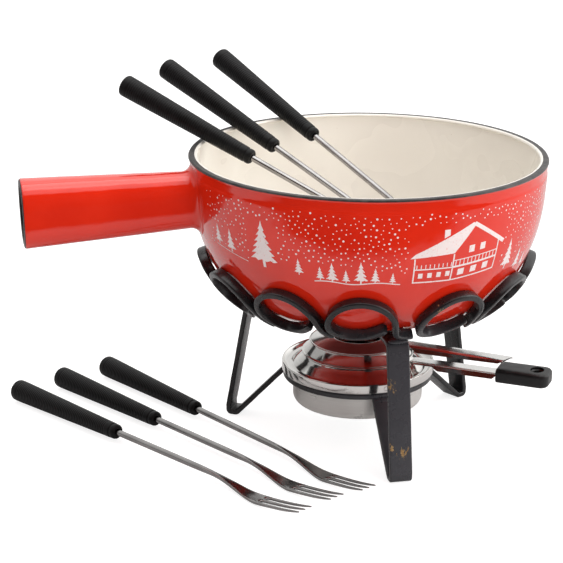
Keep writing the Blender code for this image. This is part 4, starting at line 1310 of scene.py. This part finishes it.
def fork_handle_shape():
    """The turned handle, with close rings along its grip."""
    edge = 0.0026
    line = [(0.0, 0.0002), (0.0018, 0.0), (FORK_BUTT_R - edge, 0.0)]  # radius, x
    for turn in np.linspace(0, QUARTER, 7)[1:]:
        line.append((FORK_BUTT_R - edge + edge * math.sin(turn), 0.0020 * (1 - math.cos(turn))))
    line.append((FORK_BUTT_R, 0.0050))

    def body(x):
        taper = (FORK_NOSE_R - FORK_BUTT_R) / (FORK_HANDLE - 0.012)
        return FORK_BUTT_R + taper * max(0.0, x - 0.008)

    pitch, x = 0.0017, 0.0064
    # groove: place in the pitch, depth
    groove = [(0.0, 0.00004), (0.16, 0.00023), (0.34, 0.00023), (0.52, 0.00004), (0.78, 0.0)]
    while x < 0.1010:
        line += [(body(x + place * pitch) - depth, x + place * pitch) for place, depth in groove]
        x += pitch
    # collar: x, radius from the body's
    collar = [(0.1024, 0.0), (0.1048, 0.0), (0.1052, -0.0004), (0.1060, -0.0005),
              (0.1066, -0.0001), (0.1086, -0.0001)]
    line += [(body(x) + step, x) for x, step in collar]
    line += [(FORK_NOSE_R - 0.0004, FORK_HANDLE - 0.0007), (FORK_NOSE_R - 0.0011, FORK_HANDLE),
             (0.0026, FORK_HANDLE), (0.0021, FORK_HANDLE - 0.0006),
             (FORK_SHAFT_R + 0.0001, FORK_HANDLE - 0.0012)]
    verts, faces = lathe(line, 44, Vector((0, 0, 0)))
    return [(z, x, y) for x, y, z in verts], faces


def fork_steel_shape():
    """Shaft and tines: a cage that a subdivision surface rounds off."""
    verts, top, bottom = [], [], []
    for x, half_w, half_t, z in STEEL_STATIONS:
        roundness = max(0.0, min(1.0, (0.226 - x) / 0.026))
        tip_part = max(0.0, (x - 0.258) / (FORK_LENGTH - 0.258)) ** 1.8
        upper, lower = [], []
        for shaft, head, tip in zip(SHAFT_LINES, HEAD_LINES, TIP_LINES):
            flat = head * (1 - tip_part) + tip * tip_part
            share = shaft * roundness + flat * (1 - roundness)
            dome = math.sqrt(max(0.02, 1 - share * share * 0.93))
            lift = half_t * (dome * roundness + (1 - roundness))
            upper.append(len(verts))
            verts.append(Vector((x, share * half_w, z + lift)))
            lower.append(len(verts))
            verts.append(Vector((x, share * half_w, z - lift * (0.8 if x > 0.24 else 1.0))))
        top.append(upper)
        bottom.append(lower)
    # cells (station, line) that hold steel; the gaps between the tines are left out
    cells = [(i, j) for i in range(len(STEEL_STATIONS) - 1) for j in range(5)
             if i < TINES_FROM or j in (0, 2, 4)]
    filled = set(cells)
    faces = []
    for i, j in cells:
        faces.append((top[i][j], top[i + 1][j], top[i + 1][j + 1], top[i][j + 1]))
        faces.append((bottom[i][j], bottom[i][j + 1], bottom[i + 1][j + 1], bottom[i + 1][j]))
        if (i, j - 1) not in filled:
            faces.append((top[i][j], bottom[i][j], bottom[i + 1][j], top[i + 1][j]))
        if (i, j + 1) not in filled:
            faces.append((top[i][j + 1], top[i + 1][j + 1], bottom[i + 1][j + 1], bottom[i][j + 1]))
        if (i - 1, j) not in filled:
            faces.append((top[i][j], top[i][j + 1], bottom[i][j + 1], bottom[i][j]))
        if (i + 1, j) not in filled:
            faces.append((top[i + 1][j], bottom[i + 1][j], bottom[i + 1][j + 1], top[i + 1][j + 1]))
    return verts, faces


def build_forks():
    steel, plastic = fork_steel(), fork_plastic()
    handle, tines = fork_handle_shape(), fork_steel_shape()
    for name, butt, azimuth, tilt in FORKS:
        matrix = fork_matrix(butt, azimuth, tilt)
        piece(name + "_grip", handle, [plastic], name, name + "_handle",
              sharp=38.0, matrix=matrix)
        obj = piece(name + "_tines", tines, [steel], name, name + "_steel",
                    sharp=None, matrix=matrix)
        smooth = obj.modifiers.new("smooth", "SUBSURF")
        smooth.levels = smooth.render_levels = 2


# ---------------------------------------------------------------- stage, light and camera
def build_stage():
    """A square floor grid, just below z = 0."""
    cells, half = 24, 7.0
    places = [(i / cells - 0.5) * 2 * half for i in range(cells + 1)]
    verts = [(x, y, -0.0002) for x in places for y in places]
    faces = []
    for i in range(cells):
        for j in range(cells):
            a = i * (cells + 1) + j
            faces.append((a, a + cells + 1, a + cells + 2, a + 1))
    piece("studio_floor", (verts, faces), [floor_material()], tidy=False)


def build_world():
    """A soft room: bright above and to the right, dark red-brown towards the front."""
    world = bpy.data.worlds.new("soft_studio")
    bpy.context.scene.world = world
    world.use_nodes = True
    sky = Graph(world.node_tree, "Generated")
    x, y, z = sky.split(sky.coord)
    flat = sky.math("SQRT", sky.plus(sky.times(x, x), sky.plus(sky.times(y, y), 1e-5)))

    def ramp(value, span, to):
        return sky.remap(value, span, to, curve="SMOOTHSTEP")

    def sideways(span, to):
        """A ramp from left (-1) to right (1)."""
        return ramp(sky.math("DIVIDE", x, flat), span, to)

    front = sky.math("DIVIDE", sky.times(y, -1.0), flat)
    leftward = sideways(span=(-0.90, -0.20), to=(0.22, 0.0))
    facing = ramp(sky.plus(front, leftward), span=(0.30, 0.72), to=(0.0, 1.0))
    dark = sky.times(facing, ramp(z, span=(0.76, 0.83), to=(1.0, 0.0)))
    overhead = ramp(z, span=(0.54, 0.60), to=(0.0, 0.45))
    right = sideways(span=(0.25, 0.85), to=(0.0, 0.58))
    low = ramp(z, span=(-0.80, -0.10), to=(0.40, 0.84))
    left = sideways(span=(-0.85, -0.25), to=(-0.38, 0.0))
    level = sky.plus(sky.plus(low, sky.plus(right, left)), overhead)
    dimming = 0.915  # share of the light lost where the room is dark
    level = sky.times(level, sky.math("SUBTRACT", 1.0, sky.times(dark, dimming)))
    back = world.node_tree.nodes["Background"]
    sky.put(back.inputs["Strength"], level)
    sky.put(back.inputs["Color"], sky.mix(dark, (1.0, 0.998, 0.99, 1.0), (1.0, 0.19, 0.13, 1.0)))


# name, place from the middle of the set, (width, height), watts, whether reflections show it
LIGHTS = [
    ("overhead_softbox", (-0.15, 0.25, 1.25), (1.3, 1.0), 6.0, True),
    ("left_softbox", (-1.25, -0.55, 0.75), (0.8, 0.9), 1.6, True),
    ("front_fill", (0.95, -1.60, 0.75), (1.5, 1.1), 16.5, False),
    ("low_fill", (-0.10, -1.10, -0.02), (1.4, 0.14), 1.6, False),
    ("right_softbox", (1.25, 0.10, 0.65), (0.8, 0.9), 4.0, True),
]


def build_light():
    """Area lights, all aimed at the middle of the set."""
    middle = AXIS + UP * 0.12
    for name, offset, size, watts, glossy in LIGHTS:
        light = bpy.data.lights.new(name, "AREA")
        light.shape, light.energy = "RECTANGLE", watts
        light.size, light.size_y = size
        obj = bpy.data.objects.new(name, light)
        place = middle + Vector(offset)
        obj.location = place
        obj.rotation_euler = (middle - place).to_track_quat("-Z", "Y").to_euler()
        obj.visible_glossy = glossy
        bpy.context.scene.collection.objects.link(obj)


def build_camera():
    yaw, pitch, roll = math.radians(-2.689), math.radians(18.000), math.radians(0.273)
    ahead = heading(QUARTER - yaw, pitch)
    right = ahead.cross(UP).normalized()
    up = right.cross(ahead)
    rolled_right = right * math.cos(roll) + up * math.sin(roll)
    rolled_up = up * math.cos(roll) - right * math.sin(roll)
    cam = bpy.data.cameras.new("camera")
    cam.sensor_fit, cam.sensor_width, cam.lens = "HORIZONTAL", 36.0, 120.4305506
    cam.clip_start, cam.clip_end = 0.05, 40.0
    obj = bpy.data.objects.new("camera", cam)
    matrix = Matrix((rolled_right, rolled_up, -ahead)).transposed().to_4x4()
    matrix.translation = AXIS + Vector((0.0, -1.2224, 0.5031))
    obj.matrix_world = matrix
    bpy.context.scene.collection.objects.link(obj)
    bpy.context.scene.camera = obj


def main():
    red, cream, iron = red_enamel(), cream_enamel(), bare_iron()
    build_pot(red, cream, iron)
    build_handle(red, iron)
    build_motif(white_print())
    build_stand(black_paint())
    build_burner(iron)
    build_forks()
    build_stage()
    build_world()
    build_light()
    build_camera()
    view = bpy.context.scene.view_settings
    view.view_transform = "Standard"
    view.look = "None"


main()
bpy.context.view_layer.update()
